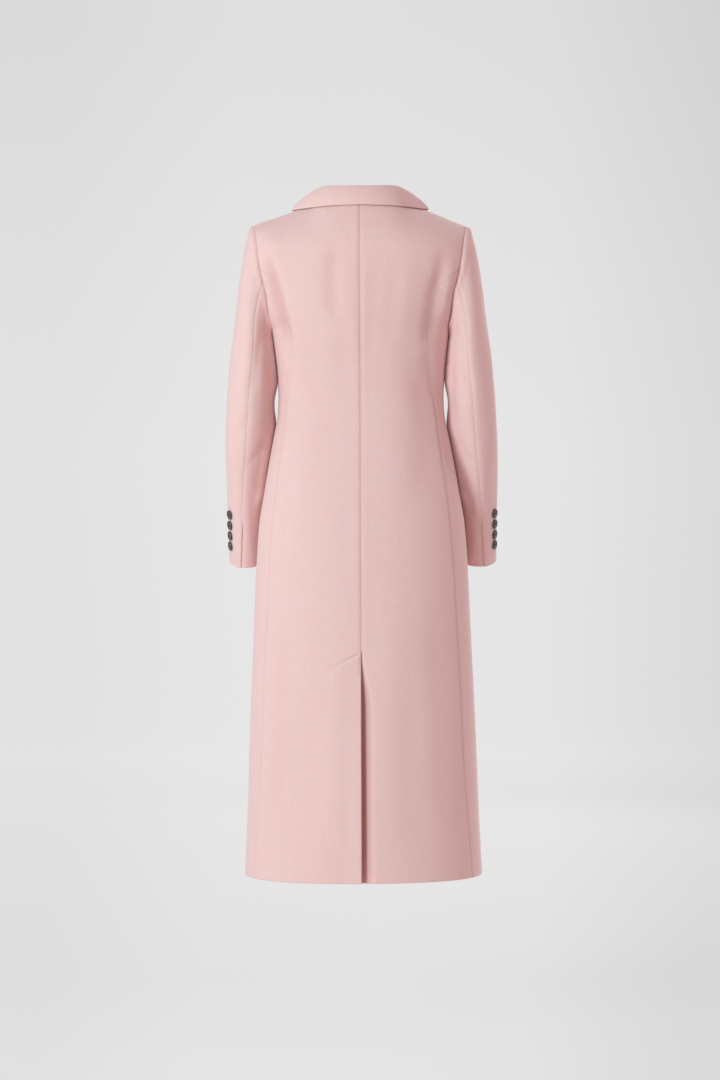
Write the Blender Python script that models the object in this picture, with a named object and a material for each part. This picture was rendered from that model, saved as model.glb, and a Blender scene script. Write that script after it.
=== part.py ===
"""Long tailored wool overcoat in its worn, hollow shape, as closed cloth solids.

Metres, +Z up. The front faces -Y, the back +Y, and the wearer's left is +X. The origin is the
middle of the neck base, level with the points where the shoulder seams meet the collar.
Heights in the tables are above the hem. Angles round the body start at the centre back, grow
through the side and reach 180 degrees at the centre front.
"""

import math

import bmesh
import bpy
import numpy as np
from mathutils import Matrix, Vector
from mathutils.bvhtree import BVHTree

# ---------------------------------------------------------------- driving sizes

NECK_HEIGHT = 1.236  # shoulder-neck points above the hem
WALL = 0.0025  # cloth thickness
COLLAR_WALL = 0.003  # the fall is two layers pressed together
SEAM_INSET = 0.00016  # each piece stops this far short of a seam
ROUNDNESS = 2.3  # superellipse power of the body's sections

UNDERARM = 1.000  # height of the lowest point of the armhole
SECTION_TOP = 1.140  # above this the cloth turns over the shoulder
NECK_HALF_WIDTH = 0.080
BACK_NECK_DEPTH = 0.066
BACK_NECK_HEIGHT = 1.228
SHOULDER_TIP = (0.195, -0.005, 1.187)
SHOULDER_NORMAL = (0.37, 0.0, 0.929)

VENT_FIRST = 0.411  # the first height where the underlap is free of the seam
VENT_UNDERLAP = 0.045
VENT_SLOPE = 0.53  # drop of the stitched top of the underlap, per width
VENT_DIP_TOP = 0.0044
VENT_DIP = 0.010
VENT_DIP_WIDTH = 0.022

FRONT_EXTENSION = 0.025  # each front runs this far past the centre front
FRONT_RAISE = 0.0066  # the right front lies over the left one and its lapel
BREAK_HEIGHT = 0.950  # where the lapel starts to turn back

SLEEVE_START = 0.0007  # gap between the armhole's edge and the sleeve
SLEEVE_TOP_RING = 0.985

LAPEL_LIFT = 0.0011
LAPEL_EDGE_LIFT = 0.0012
GORGE_HEIGHT = 1.188
LAPEL_TIP = (0.150, 1.168)
LAPEL_START = 0.004  # the lapel begins this far above the break, and as wide
LAPEL_BELLY = 0.010
EDGE_CATCH = 0.0008  # a point on a free edge is read this far inside it
COLLAR_TIP = (0.125, 1.193)
NOTCH_SHARE = 0.58  # the gorge's part of the lapel's upper edge
GORGE_PART = 4 / 7  # the gorge's part of the collar's front end
GORGE_GAP = 0.0012
FALL_POINTS = 8

STAND_GAP = 0.0006  # between the neck seam and the stand
STAND_BELLY = 0.0012
ROLL_GAP = 0.0009  # between the stand and the fall
ROLL_RISE = 0.015  # how the collar turns over above its stand
ROLL_SHARE = 0.42
ROLL_LIFT = 0.010
ROLL_OUT = 0.006
COLLAR_LIFT = 0.0014  # between the fall's free edge and the cloth below it
CLEAR_OF_CENTRE = 1.0  # degrees, so that no line runs down the centre-back seam

CUFF_BUTTON = (0.009, 0.0036)  # radius, thickness
FRONT_BUTTON = (0.014, 0.0042)
BUTTON_GAP = 0.0005
NEAR_REACH = 0.9  # where a line that just misses a panel's edge looks for it


def table(names, *rows):
    """A short table as a dictionary of columns."""
    return dict(zip(names.split(), np.array(rows, float).T))


BODY = table(
    "height half_width back_depth front_depth",
    (0.000, 0.2180, 0.185, 0.165),
    (0.100, 0.2130, 0.180, 0.160),
    (0.244, 0.2080, 0.170, 0.153),
    (0.391, 0.2020, 0.160, 0.145),
    (0.530, 0.1960, 0.150, 0.136),
    (0.638, 0.1890, 0.137, 0.128),
    (0.702, 0.1786, 0.126, 0.122),
    (0.766, 0.1676, 0.113, 0.117),
    (0.805, 0.1604, 0.105, 0.114),
    (0.843, 0.1534, 0.098, 0.111),
    (0.872, 0.1520, 0.095, 0.110),
    (0.897, 0.1527, 0.097, 0.112),
    (0.924, 0.1546, 0.101, 0.117),
    (0.980, 0.1620, 0.112, 0.132),
    (1.000, 0.1635, 0.115, 0.135),
    (1.050, 0.1635, 0.120, 0.131),
    (1.095, 0.1635, 0.120, 0.121),
    (1.140, 0.1635, 0.113, 0.107),
)

# The armhole is an oval seen from the side; these give how far out its edge lies.
ARMHOLE_BACK = table(
    "height out",
    (1.000, 0.1635),
    (1.013, 0.1650),
    (1.058, 0.1695),
    (1.085, 0.1770),
    (1.112, 0.1830),
    (1.154, 0.1890),
    (1.187, 0.1950),
)
ARMHOLE_FRONT = table(
    "height out",
    (1.000, 0.1635),
    (1.030, 0.1625),
    (1.060, 0.1615),
    (1.100, 0.1670),
    (1.150, 0.1820),
    (1.187, 0.1950),
)
ARMHOLE_WIDEST = {"back": (0.062, 1.090), "front": (0.066, 1.065)}  # depth, height

SIDE_BACK_SEAM = table(
    "height out",
    (0.000, 0.1980),
    (0.110, 0.1900),
    (0.235, 0.1820),
    (0.373, 0.1770),
    (0.465, 0.1720),
    (0.586, 0.1660),
    (0.676, 0.1580),
    (0.753, 0.1480),
    (0.820, 0.1400),
    (0.864, 0.1345),
    (0.900, 0.1285),
    (0.945, 0.1250),
    (1.000, 0.1275),
    (1.050, 0.1385),
    (1.085, 0.1600),
    (1.105, 0.1815),
)
SIDE_FRONT_SEAM = table(
    "height out",
    (0.000, 0.1520),
    (0.200, 0.1450),
    (0.400, 0.1380),
    (0.600, 0.1300),
    (0.750, 0.1150),
    (0.872, 0.1000),
    (0.940, 0.1050),
    (1.000, 0.1150),
    (1.040, 0.1330),
    (1.075, 0.1632),
)

# Rows of points up the coat. The seam rows end where each seam meets the armhole.
LOWER_ROWS = (0.0, 0.06, 0.14, 0.22, 0.30, 0.36, VENT_FIRST, 0.418, 0.50)
SKIRT_ROWS = LOWER_ROWS + (0.58, 0.66, 0.72, 0.78, 0.83, 0.865, 0.90)
BACK_SEAM_ROWS = (0.945, 0.99, 1.035, 1.075, 1.105)
FRONT_SEAM_ROWS = (0.950, 0.985, 1.017, 1.047, 1.075)
FRONT_UPPER_ROWS = (1.108, SECTION_TOP)
BACK_UPPER_ROWS = (SECTION_TOP,)
CAP_ROWS = 5

# The soft troughs that show in the back, each from a high point to a low one.
FOLDS = table(
    "high_x high_height low_x low_height width depth",
    (0.154, 1.110, 0.130, 0.940, 0.013, 0.0045),
    (-0.150, 1.110, -0.124, 0.960, 0.014, 0.0050),
    (-0.124, 0.960, -0.138, 0.860, 0.011, 0.0035),
    (0.058, 1.115, 0.052, 1.010, 0.017, 0.0018),
    (-0.026, 1.090, -0.022, 0.940, 0.013, 0.0014),
    (0.090, 0.330, 0.112, 0.020, 0.040, 0.0040),
    (-0.085, 0.380, -0.105, 0.020, 0.040, 0.0035),
)

SLEEVE = table(
    "height centre_x centre_y half_width half_depth tilt",
    (0.574, 0.2160, -0.0960, 0.0340, 0.0490, 0.27),
    (0.648, 0.2145, -0.0720, 0.0358, 0.0530, 0.27),
    (0.722, 0.2132, -0.0450, 0.0380, 0.0575, 0.23),
    (0.795, 0.2082, -0.0160, 0.0428, 0.0620, 0.10),
    (0.869, 0.2028, 0.0000, 0.0438, 0.0660, 0.00),
    (0.940, 0.1998, -0.0020, 0.0414, 0.0690, 0.00),
    (0.985, 0.2000, -0.0020, 0.0355, 0.0700, 0.00),
)
SLEEVE_ROWS = (0.940, 0.900, 0.869, 0.832, 0.795, 0.758, 0.722, 0.685, 0.648, 0.611, 0.574)
SLEEVE_CAP_ROWS = 6
SLEEVE_COLUMNS = {"top": 12, "under": 8}
# Turn of the seam that shows down the back of the arm, from the outside of the sleeve.
SLEEVE_BACK_SEAM = table(
    "height turn",
    (0.574, 69.0),
    (0.630, 73.0),
    (0.676, 78.0),
    (0.714, 83.0),
    (0.789, 88.0),
    (0.863, 88.5),
    (0.935, 94.0),
    (0.985, 102.0),
)
SLEEVE_BACK_SEAM_START = 95.0
SLEEVE_FRONT_SEAM_START = 236.0
SLEEVE_FRONT_SEAM = 240.0

# The collar, from the centre back (station 0) over the shoulder (1) to the gorge (2).
COLLAR = table(
    "station lean_x lean_y lean_z stand_height edge_turn edge_height",
    (0.0, 0.00, -0.28, 0.96, 0.0250, 0.0, 1.2185),
    (0.5, -0.20, -0.18, 0.96, 0.0230, 45.0, 1.2175),
    (1.0, -0.32, 0.00, 0.95, 0.0190, 90.0, 1.2165),
    (1.5, -0.52, -0.08, 0.85, 0.0150, 103.0, 1.2060),
    (2.0, -0.75, -0.15, 0.64, 0.0040, 113.0, 1.1930),
)

CUFF_BUTTON_HEIGHTS = (0.668, 0.6485, 0.629, 0.610)
CUFF_BUTTON_TURN = 34.0
FRONT_BUTTON_HEIGHTS = (0.915, 0.785, 0.655)

CLOTH_COLOUR = (0.740, 0.440, 0.430, 1.0)
HORN_COLOUR = (0.050, 0.026, 0.018, 1.0)


# ---------------------------------------------------------------- small mathematics


def smooth(rows, column, at):
    """A column of a table at any height, by monotone cubics through its rows."""
    x = rows["height"] if "height" in rows else rows["station"]
    y = rows[column]
    step = np.diff(x)
    rise = np.diff(y) / step
    slope = np.zeros_like(y)
    same = rise[:-1] * rise[1:] > 0
    mean = 2 * rise[:-1] * rise[1:] / np.where(same, rise[:-1] + rise[1:], 1.0)
    slope[1:-1] = np.where(same, mean, 0.0)
    slope[0], slope[-1] = rise[0], rise[-1]
    at = np.clip(np.asarray(at, float), x[0], x[-1])
    k = np.clip(np.searchsorted(x, at) - 1, 0, len(x) - 2)
    t = (at - x[k]) / step[k]
    bend = (y[k], slope[k] * step[k], y[k + 1], slope[k + 1] * step[k])
    return hermite(*bend, t)


def hermite(start, start_pull, end, end_pull, t):
    return (
        start * (2 * t**3 - 3 * t**2 + 1)
        + start_pull * (t**3 - 2 * t**2 + t)
        + end * (3 * t**2 - 2 * t**3)
        + end_pull * (t**3 - t**2)
    )


def ease(low, high, at):
    """0 below low, 1 above high, smooth between; low may be the larger one."""
    t = np.clip((np.asarray(at, float) - low) / (high - low), 0.0, 1.0)
    return t * t * (3 - 2 * t)


def power(base, exponent):
    """A power that keeps its base's sign."""
    return np.sign(base) * np.abs(base) ** exponent


def unit(vectors):
    vectors = np.asarray(vectors, float)
    return vectors / np.linalg.norm(vectors, axis=-1, keepdims=True)


def stack(x, y, z):
    return np.stack(np.broadcast_arrays(x, y, z), axis=-1).astype(float)


# ---------------------------------------------------------------- the body's form


def armhole(turn):
    """The armhole's edge: turn 0 at the shoulder tip, 90 at the back, 180 below, 270 in front."""
    turn = np.asarray(turn, float) % 360
    angle = np.radians(turn)
    up, across = np.cos(angle), np.abs(np.sin(angle))
    back = turn <= 180
    depth = np.where(back, ARMHOLE_WIDEST["back"][0], -ARMHOLE_WIDEST["front"][0])
    level = np.where(back, ARMHOLE_WIDEST["back"][1], ARMHOLE_WIDEST["front"][1])
    tip_x, tip_y, tip_height = SHOULDER_TIP
    height = np.where(up > 0, level + (tip_height - level) * up, level + (level - UNDERARM) * up)
    y = np.where(up > 0, tip_y + (depth - tip_y) * across, depth * across)
    out = np.where(
        back, smooth(ARMHOLE_BACK, "out", height), smooth(ARMHOLE_FRONT, "out", height)
    )
    return stack(out, y, height)


def armhole_turn(height, side):
    """The turn of the armhole's edge at a height above its widest level."""
    level = ARMHOLE_WIDEST[side][1]
    turn = math.degrees(math.acos((height - level) / (SHOULDER_TIP[2] - level)))
    return turn if side == "back" else 360 - turn


def armhole_depth(height, side):
    """How far behind or before the middle the armhole's edge is at a height."""
    depth, level = ARMHOLE_WIDEST[side]
    tip = SHOULDER_TIP[1] if side == "back" else -SHOULDER_TIP[1]
    low = np.clip((level - height) / (level - UNDERARM), 0, 1)
    high = np.clip((height - level) / (SHOULDER_TIP[2] - level), 0, 1)
    below = depth * np.sqrt(1 - low**2)
    above = tip + (depth - tip) * np.sqrt(1 - high**2)
    return np.where(height <= level, below, above)


def section(height, side):
    """Half width and depth of the body's section; above the underarm it runs on unseen."""
    depth = smooth(BODY, side + "_depth", height)
    edge = ARMHOLE_BACK if side == "back" else ARMHOLE_FRONT
    over = np.maximum(height, UNDERARM)
    share = armhole_depth(over, side) / depth
    wide = smooth(edge, "out", over) / (1 - share**ROUNDNESS) ** (1 / ROUNDNESS)
    return np.where(height > UNDERARM, wide, smooth(BODY, "half_width", height)), depth


def armhole_angle(height, side):
    """The angle round the body where its section meets the armhole's edge."""
    share = armhole_depth(height, side) / smooth(BODY, side + "_depth", height)
    angle = np.arccos(np.clip(share, 0, 1) ** (ROUNDNESS / 2))
    return angle if side == "back" else np.pi - angle


def angle_at(out, height, side):
    """The angle round the body of a point this far out; negative past the centre."""
    half_width, _ = section(height, side)
    angle = np.arcsin(power(np.clip(out / half_width, -1, 1), ROUNDNESS / 2))
    return angle if side == "back" else np.pi - angle


def body(angle, height):
    """A point of the plain left half of the body's outer face."""
    angle, height = np.broadcast_arrays(np.asarray(angle, float), np.asarray(height, float))
    behind = np.cos(angle) >= 0
    back_width, back_depth = section(height, "back")
    front_width, front_depth = section(height, "front")
    x = np.where(behind, back_width, front_width) * power(np.sin(angle), 2 / ROUNDNESS)
    y = np.where(behind, back_depth, front_depth) * power(np.cos(angle), 2 / ROUNDNESS)
    return stack(x, y, height)


def body_normal(angle, height):
    step = 1e-4
    round_way = body(angle + step, height) - body(angle - step, height)
    up_way = body(angle, np.minimum(height + step, SECTION_TOP)) - body(angle, height - step)
    return unit(np.cross(up_way, round_way))


def body_inset(angle, height, distance):
    """The angle, moved round the body by a distance."""
    step = 1e-3
    speed = np.linalg.norm(body(angle + step, height) - body(angle - step, height), axis=-1)
    return angle + distance * 2 * step / speed


def fold_depth(x, height):
    """How deep the troughs of the back are; x is positive on the wearer's left."""
    total = np.zeros(np.broadcast(x, height).shape)
    for k in range(len(FOLDS["depth"])):
        high, low = FOLDS["high_height"][k], FOLDS["low_height"][k]
        share = np.clip((height - low) / (high - low), -0.5, 1.5)
        line = FOLDS["low_x"][k] + (FOLDS["high_x"][k] - FOLDS["low_x"][k]) * share
        end = np.maximum(np.abs(share - 0.5) - 0.25, 0) / 0.25
        across = np.exp(-(((x - line) / FOLDS["width"][k]) ** 2))
        total += FOLDS["depth"][k] * across * np.exp(-(end**2) * 1.6)
    return total


def neckline(share):
    """The back neck seam, from the centre back (0) to the shoulder seam (1)."""
    angle = share * np.pi / 2
    rise = NECK_HEIGHT - BACK_NECK_HEIGHT
    x = NECK_HALF_WIDTH * np.sin(angle)
    y = BACK_NECK_DEPTH * np.cos(angle)
    return stack(x, y, BACK_NECK_HEIGHT + rise * np.sin(angle) ** 2)


def shoulder_seam(share):
    """From the neck (0) to the tip (1)."""
    start = np.array([NECK_HALF_WIDTH, 0.0, NECK_HEIGHT])
    return start + (np.array(SHOULDER_TIP) - start) * np.asarray(share)[..., None]


BACK_NECK_SHARE = 0.4  # the neck's part of the back's columns
CAP_STEP = 0.005  # the caps carry on the slope of the last part of the sections
BACK_CAP = {
    "neck_way": (0, -0.62, 0.78),
    "shoulder_way": (-0.04, -0.96, 0.30),
    "start_pull": 1.15,
    "end_pull": 0.088,
}
FRONT_CAP = {"shoulder_way": (0.04, 0.95, 0.33), "start_pull": 1.1, "end_pull": 0.095}


def back_cap(across, up):
    """The upper back, from the last section (up 0) over to the neck and shoulder seams (1)."""
    across, up = np.broadcast_arrays(np.asarray(across, float), np.asarray(up, float))
    edge = armhole_angle(SECTION_TOP, "back")
    start = body(edge * across, SECTION_TOP)
    below = body(edge * across, SECTION_TOP - CAP_STEP)
    neck = neckline(np.clip(across / BACK_NECK_SHARE, 0, 1))
    seam = shoulder_seam(np.clip((across - BACK_NECK_SHARE) / (1 - BACK_NECK_SHARE), 0, 1))
    end = np.where((across < BACK_NECK_SHARE)[..., None], neck, seam)
    rise = (end[..., 2] - SECTION_TOP)[..., None]
    toward_shoulder = ease(0.0, BACK_NECK_SHARE, across)[..., None]
    end_way = np.array(BACK_CAP["neck_way"]) * (1 - toward_shoulder)
    end_way = end_way + np.array(BACK_CAP["shoulder_way"]) * toward_shoulder
    start_pull = (start - below) / CAP_STEP * rise * BACK_CAP["start_pull"]
    point = hermite(start, start_pull, end, end_way * BACK_CAP["end_pull"], up[..., None])
    return point + edge_mend(across, up, point_at_edge_back)


def point_at_edge_back(up):
    """What the plain cap and the armhole's edge each give at the back panel's edge."""
    start = body(armhole_angle(SECTION_TOP, "back"), SECTION_TOP)
    below = body(armhole_angle(SECTION_TOP, "back"), SECTION_TOP - CAP_STEP)
    end = np.array(SHOULDER_TIP)
    pull = (start - below) / CAP_STEP * (end[2] - SECTION_TOP) * BACK_CAP["start_pull"]
    end_way = np.array(BACK_CAP["shoulder_way"]) * BACK_CAP["end_pull"]
    plain = hermite(start, pull, end, end_way, up[..., None])
    return plain, armhole(armhole_turn(SECTION_TOP, "back") * (1 - up))


def edge_mend(across, up, at_edge):
    """Brings the cap's outer columns onto the armhole's edge."""
    plain, true = at_edge(up)
    return (true - plain) * (across**5)[..., None]


def front_edge(height):
    """How far out the front's free edge is: past the centre, then along the roll line."""
    run = (NECK_HALF_WIDTH + FRONT_EXTENSION) / (NECK_HEIGHT - BREAK_HEIGHT)
    return -FRONT_EXTENSION + run * np.maximum(np.asarray(height, float) - BREAK_HEIGHT, 0)


def front_angle(across, height):
    """across 0 at the free edge, 1 at the armhole's edge."""
    edge = angle_at(front_edge(height), height, "front")
    return edge + (armhole_angle(height, "front") - edge) * across


def front_cap(across, up):
    """The upper front, from the last section (up 0) to the shoulder seam (1)."""
    across, up = np.broadcast_arrays(np.asarray(across, float), np.asarray(up, float))
    start = body(front_angle(across, SECTION_TOP), SECTION_TOP)
    lower = SECTION_TOP - CAP_STEP
    below = body(front_angle(across, lower), lower)
    end = shoulder_seam(across)
    rise = (end[..., 2] - SECTION_TOP)[..., None]
    pull = (start - below) / CAP_STEP * rise * FRONT_CAP["start_pull"]
    end_way = np.array(FRONT_CAP["shoulder_way"]) * FRONT_CAP["end_pull"]
    point = hermite(start, pull, end, end_way, up[..., None])
    return point + edge_mend(across, up, point_at_edge_front)


def point_at_edge_front(up):
    first = armhole_turn(SECTION_TOP, "front")
    lower = SECTION_TOP - CAP_STEP
    start = body(armhole_angle(SECTION_TOP, "front"), SECTION_TOP)
    below = body(armhole_angle(lower, "front"), lower)
    end = np.array(SHOULDER_TIP)
    pull = (start - below) / CAP_STEP * (end[2] - SECTION_TOP) * FRONT_CAP["start_pull"]
    end_way = np.array(FRONT_CAP["shoulder_way"]) * FRONT_CAP["end_pull"]
    plain = hermite(start, pull, end, end_way, up[..., None])
    return plain, armhole(first + (360 - first) * up)


def cap_normal(cap, across, up):
    """Outward normals of a cap; along the shoulder seam both caps share one direction."""
    step = 1e-3
    low, high = np.clip(up - step, 0, 1), np.clip(up + step, 0, 1)
    left, right = np.clip(across - step, 0, 1), np.clip(across + step, 0, 1)
    up_way = cap(across, high) - cap(across, low)
    round_way = cap(right, up) - cap(left, up)
    normal = unit(np.cross(up_way, round_way))
    return -normal if cap is front_cap else normal


# ---------------------------------------------------------------- panels as grids of points


def right_raise(x, height):
    """How far the right front lies proud; x is out from the centre on its own side."""
    return FRONT_RAISE * (1 - ease(0.035, 0.095, x)) * (1 - ease(1.03, 1.11, height))


def vent_dip(x, height):
    """How far the right back sinks beside the vent; x is out from the centre on its own side."""
    deep = VENT_DIP_TOP + (VENT_DIP - VENT_DIP_TOP) * ease(VENT_FIRST, 0.32, height)
    open_here = (height <= VENT_FIRST + 1e-6) | (x < -SEAM_INSET * 2)
    return np.where(open_here, deep, 0.0) * (1 - ease(0.0, VENT_DIP_WIDTH, x))


def back_grid(side, columns=10):
    """Outer points and normals of one back half; side is 1 on the wearer's left."""
    heights = np.array(SKIRT_ROWS + BACK_SEAM_ROWS + BACK_UPPER_ROWS)[:, None]
    across = np.linspace(0, 1, columns + 1)[None, :]
    seam = angle_at(smooth(SIDE_BACK_SEAM, "out", heights), heights, "back")
    on_armhole = armhole_angle(np.maximum(heights, UNDERARM), "back")
    seam = np.where(heights > BACK_SEAM_ROWS[-2], on_armhole, seam)
    first = body_inset(np.zeros_like(heights) + 1e-3, heights, SEAM_INSET)
    last = body_inset(seam, heights, -SEAM_INSET)
    angle = first + (last - first) * across
    heights = np.broadcast_to(heights, angle.shape)
    points, normals = body(angle, heights), body_normal(angle, heights)
    if side < 0:
        points, normals = with_underlap(points, normals, heights)
    up = np.linspace(0, 1, CAP_ROWS + 1)[1:, None]
    cap, cap_out = back_cap(across, up), cap_normal(back_cap, across, up)
    cap[..., 0] += SEAM_INSET * (1 - across)
    cap[-1, :, 1] += SEAM_INSET * (across[0] >= BACK_NECK_SHARE)
    cap_out[-1][across[0] >= BACK_NECK_SHARE] = SHOULDER_NORMAL
    if side < 0:
        cap, cap_out = (np.concatenate([a[:, :1]] * 3 + [a], axis=1) for a in (cap, cap_out))
    points, normals = np.concatenate([points, cap]), np.concatenate([normals, cap_out])
    depth = fold_depth(side * points[..., 0], points[..., 2])
    if side < 0:
        depth = depth + vent_dip(points[..., 0], points[..., 2])
    return points - normals * depth[..., None], normals


def with_underlap(points, normals, heights):
    """Three more columns past the centre back, which only the vent's rows use."""
    share = np.array([1.0, 0.66, 0.33])[None, :]
    tall = heights[:, :1]
    past = -VENT_UNDERLAP * share * np.ones_like(tall)
    drop = VENT_SLOPE * VENT_UNDERLAP * share * ease(0.30, VENT_FIRST, tall)
    level = np.maximum(tall - drop, 0.0)
    angle = angle_at(past, level, "back")
    points = np.concatenate([body(angle, level), points], axis=1)
    normals = np.concatenate([body_normal(angle, level), normals], axis=1)
    return points, normals


def front_grid(side, columns=9, beyond=0.0):
    """Outer points and normals of one front; beyond runs it on past its free edge."""
    seam_rows = np.array(SKIRT_ROWS + FRONT_SEAM_ROWS)[:, None]
    upper_rows = np.array(FRONT_UPPER_ROWS)[:, None]
    heights = np.concatenate([seam_rows, upper_rows])
    across = np.linspace(-beyond, 1, columns + 1)[None, :]
    seam = angle_at(smooth(SIDE_FRONT_SEAM, "out", heights), heights, "front")
    on_armhole = armhole_angle(np.maximum(heights, UNDERARM), "front")
    seam = np.where(heights > FRONT_SEAM_ROWS[-2], on_armhole, seam)
    first = angle_at(front_edge(heights), heights, "front")
    last = body_inset(seam, heights, SEAM_INSET)
    angle = first + (last - first) * across
    heights = np.broadcast_to(heights, angle.shape)
    points, normals = body(angle, heights), body_normal(angle, heights)
    up = np.linspace(0, 1, CAP_ROWS + 1)[1:, None]
    inside = np.clip(across, 0, 1)
    cap, cap_out = front_cap(inside, up), cap_normal(front_cap, inside, up)
    cap[-1, :, 1] -= SEAM_INSET
    cap_out[-1] = SHOULDER_NORMAL
    points, normals = np.concatenate([points, cap]), np.concatenate([normals, cap_out])
    if side < 0:
        lift = right_raise(points[..., 0], points[..., 2])
        points = points + normals * lift[..., None]
    return points, normals


def side_grid(columns=6):
    """Outer points and normals of a side panel, whose top edge is the armhole's lower part."""
    share = np.linspace(0, 1, columns + 1)[None, :]
    heights = np.array(SKIRT_ROWS)[:, None]
    back = side_seam_angle(heights, "back")
    front = side_seam_angle(heights, "front")
    lower_angle = back + (front - back) * share
    lower_height = np.broadcast_to(heights, lower_angle.shape)
    angle, height = side_top(share, lower_angle[-1])
    angle = np.concatenate([lower_angle, angle])
    height = np.concatenate([lower_height, height])
    return body(angle, height), body_normal(angle, height)


def side_seam_angle(heights, side):
    seam = SIDE_BACK_SEAM if side == "back" else SIDE_FRONT_SEAM
    angle = angle_at(smooth(seam, "out", heights), heights, side)
    return body_inset(angle, heights, SEAM_INSET if side == "back" else -SEAM_INSET)


def side_top(share, first_row):
    """Angles and heights of the rows between the last level one and the armhole."""
    level = SKIRT_ROWS[-1]
    back_heights = np.array(BACK_SEAM_ROWS)[:, None]
    front_heights = np.array(FRONT_SEAM_ROWS)[:, None]
    up = np.arange(1, len(BACK_SEAM_ROWS) + 1)[:, None] / len(BACK_SEAM_ROWS)
    back_end = armhole_turn(back_heights[-1, 0], "back")
    front_end = armhole_turn(front_heights[-1, 0], "front")
    edge = armhole(back_end + (front_end - back_end) * share)
    edge_height = edge[..., 2]
    behind = edge[..., 1] >= 0
    edge_angle = np.where(
        behind, armhole_angle(edge_height, "back"), armhole_angle(edge_height, "front")
    )
    left = (side_seam_angle(back_heights, "back"), back_heights)
    right = (side_seam_angle(front_heights, "front"), front_heights)
    sides = (first_row[None, :], edge_angle), (np.full_like(share, level), edge_height)
    rows = []
    for (bottom, top), start, end in zip(sides, left, right):
        corners = (1 - share) * bottom[:, :1] + share * bottom[:, -1:]
        ends = (1 - share) * top[:, :1] + share * top[:, -1:]
        patch = (1 - share) * start + share * end
        patch = patch + (1 - up) * bottom + up * top - (1 - up) * corners - up * ends
        rows.append(patch)
    return rows


# ---------------------------------------------------------------- sleeves


def ring(turn, height):
    """A point of the sleeve below its cap; turn 0 faces outwards and 90 backwards."""
    angle = np.radians(turn)
    y = smooth(SLEEVE, "half_depth", height) * np.sin(angle)
    x = smooth(SLEEVE, "half_width", height) * np.cos(angle)
    drop = smooth(SLEEVE, "tilt", height) * y
    return stack(
        smooth(SLEEVE, "centre_x", height) + x,
        smooth(SLEEVE, "centre_y", height) + y,
        height - drop,
    )


def sleeve_cap(turn, down):
    """From the armhole's edge (down 0) to the first ring (1)."""
    turn, down = np.broadcast_arrays(np.asarray(turn, float), np.asarray(down, float))
    angle = np.radians(turn)
    start = armhole(turn) + np.array([SLEEVE_START, 0, 0])
    end = ring(turn, SLEEVE_TOP_RING)
    low = ring(turn, SLEEVE_TOP_RING - CAP_STEP)
    length = (start[..., 2] - SLEEVE_TOP_RING)[..., None]
    top = ((1 + np.cos(angle)) / 2)[..., None]
    side = (np.sin(angle) ** 2)[..., None] * np.sign(np.sin(angle))[..., None]
    start_pull = top**1.5 * np.array([0.055, 0, 0.012])
    start_pull = start_pull + (1 - top) * np.array([0.003, 0, -0.015])
    start_pull = start_pull + np.abs(side) * np.array([0.012, 0, -0.045])
    start_pull = start_pull + side * np.array([0, 0.010, 0])
    end_pull = (low - end) / CAP_STEP * length
    return hermite(start, start_pull, end, end_pull, down[..., None])


def sleeve_point(turn, row):
    """row 0 to 1 is the cap, and above 1 the height falls from the first ring to the cuff."""
    turn, row = np.broadcast_arrays(np.asarray(turn, float), np.asarray(row, float))
    height = SLEEVE_TOP_RING - (row - 1) * (SLEEVE_TOP_RING - SLEEVE["height"][0])
    cap = sleeve_cap(turn, np.clip(row, 0, 1))
    return np.where((row <= 1)[..., None], cap, ring(turn, np.minimum(height, SLEEVE_TOP_RING)))


def sleeve_normal(turn, row):
    step = 2e-3
    lower, upper = np.minimum(row + step, 2), np.maximum(row - step, 0)
    along = sleeve_point(turn, lower) - sleeve_point(turn, upper)
    around = sleeve_point(turn + 0.5, row) - sleeve_point(turn - 0.5, row)
    return unit(np.cross(along, around))


def sleeve_seams(row):
    """The turns of the back and front seams at each row."""
    height = SLEEVE_TOP_RING - np.maximum(row - 1, 0) * (SLEEVE_TOP_RING - SLEEVE["height"][0])
    capped = np.clip(row, 0, 1)
    first = SLEEVE_BACK_SEAM["turn"][-1]
    back = SLEEVE_BACK_SEAM_START + (first - SLEEVE_BACK_SEAM_START) * capped
    back = np.where(row > 1, smooth(SLEEVE_BACK_SEAM, "turn", height), back)
    front = SLEEVE_FRONT_SEAM_START + (SLEEVE_FRONT_SEAM - SLEEVE_FRONT_SEAM_START) * capped
    return back, front


def sleeve_rows():
    cap = np.linspace(0, 1, SLEEVE_CAP_ROWS + 1)
    reach = SLEEVE_TOP_RING - SLEEVE["height"][0]
    below = 1 + (SLEEVE_TOP_RING - np.array(SLEEVE_ROWS)) / reach
    return np.concatenate([cap, below])[:, None]


def sleeve_grid(part, columns):
    """Outer points and normals of the top or the under sleeve of the left arm."""
    row = sleeve_rows()
    back, front = sleeve_seams(row)
    first, last = (front - 360, back) if part == "top" else (back, front)
    inset = math.degrees(SEAM_INSET / 0.05)
    share = np.linspace(0, 1, columns + 1)[None, :]
    turn = (first + inset) + (last - first - 2 * inset) * share
    return sleeve_point(turn, row), sleeve_normal(turn, row)


# ---------------------------------------------------------------- making solids


def to_world(points, side=1):
    """Heights above the hem to world heights, mirrored to the wearer's right if asked."""
    moved = np.array(points, float)
    moved[..., 0] *= side
    moved[..., 2] -= NECK_HEIGHT
    return moved


def cloth_material():
    return plain_material("wool cloth", CLOTH_COLOUR, 0.9)


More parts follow.
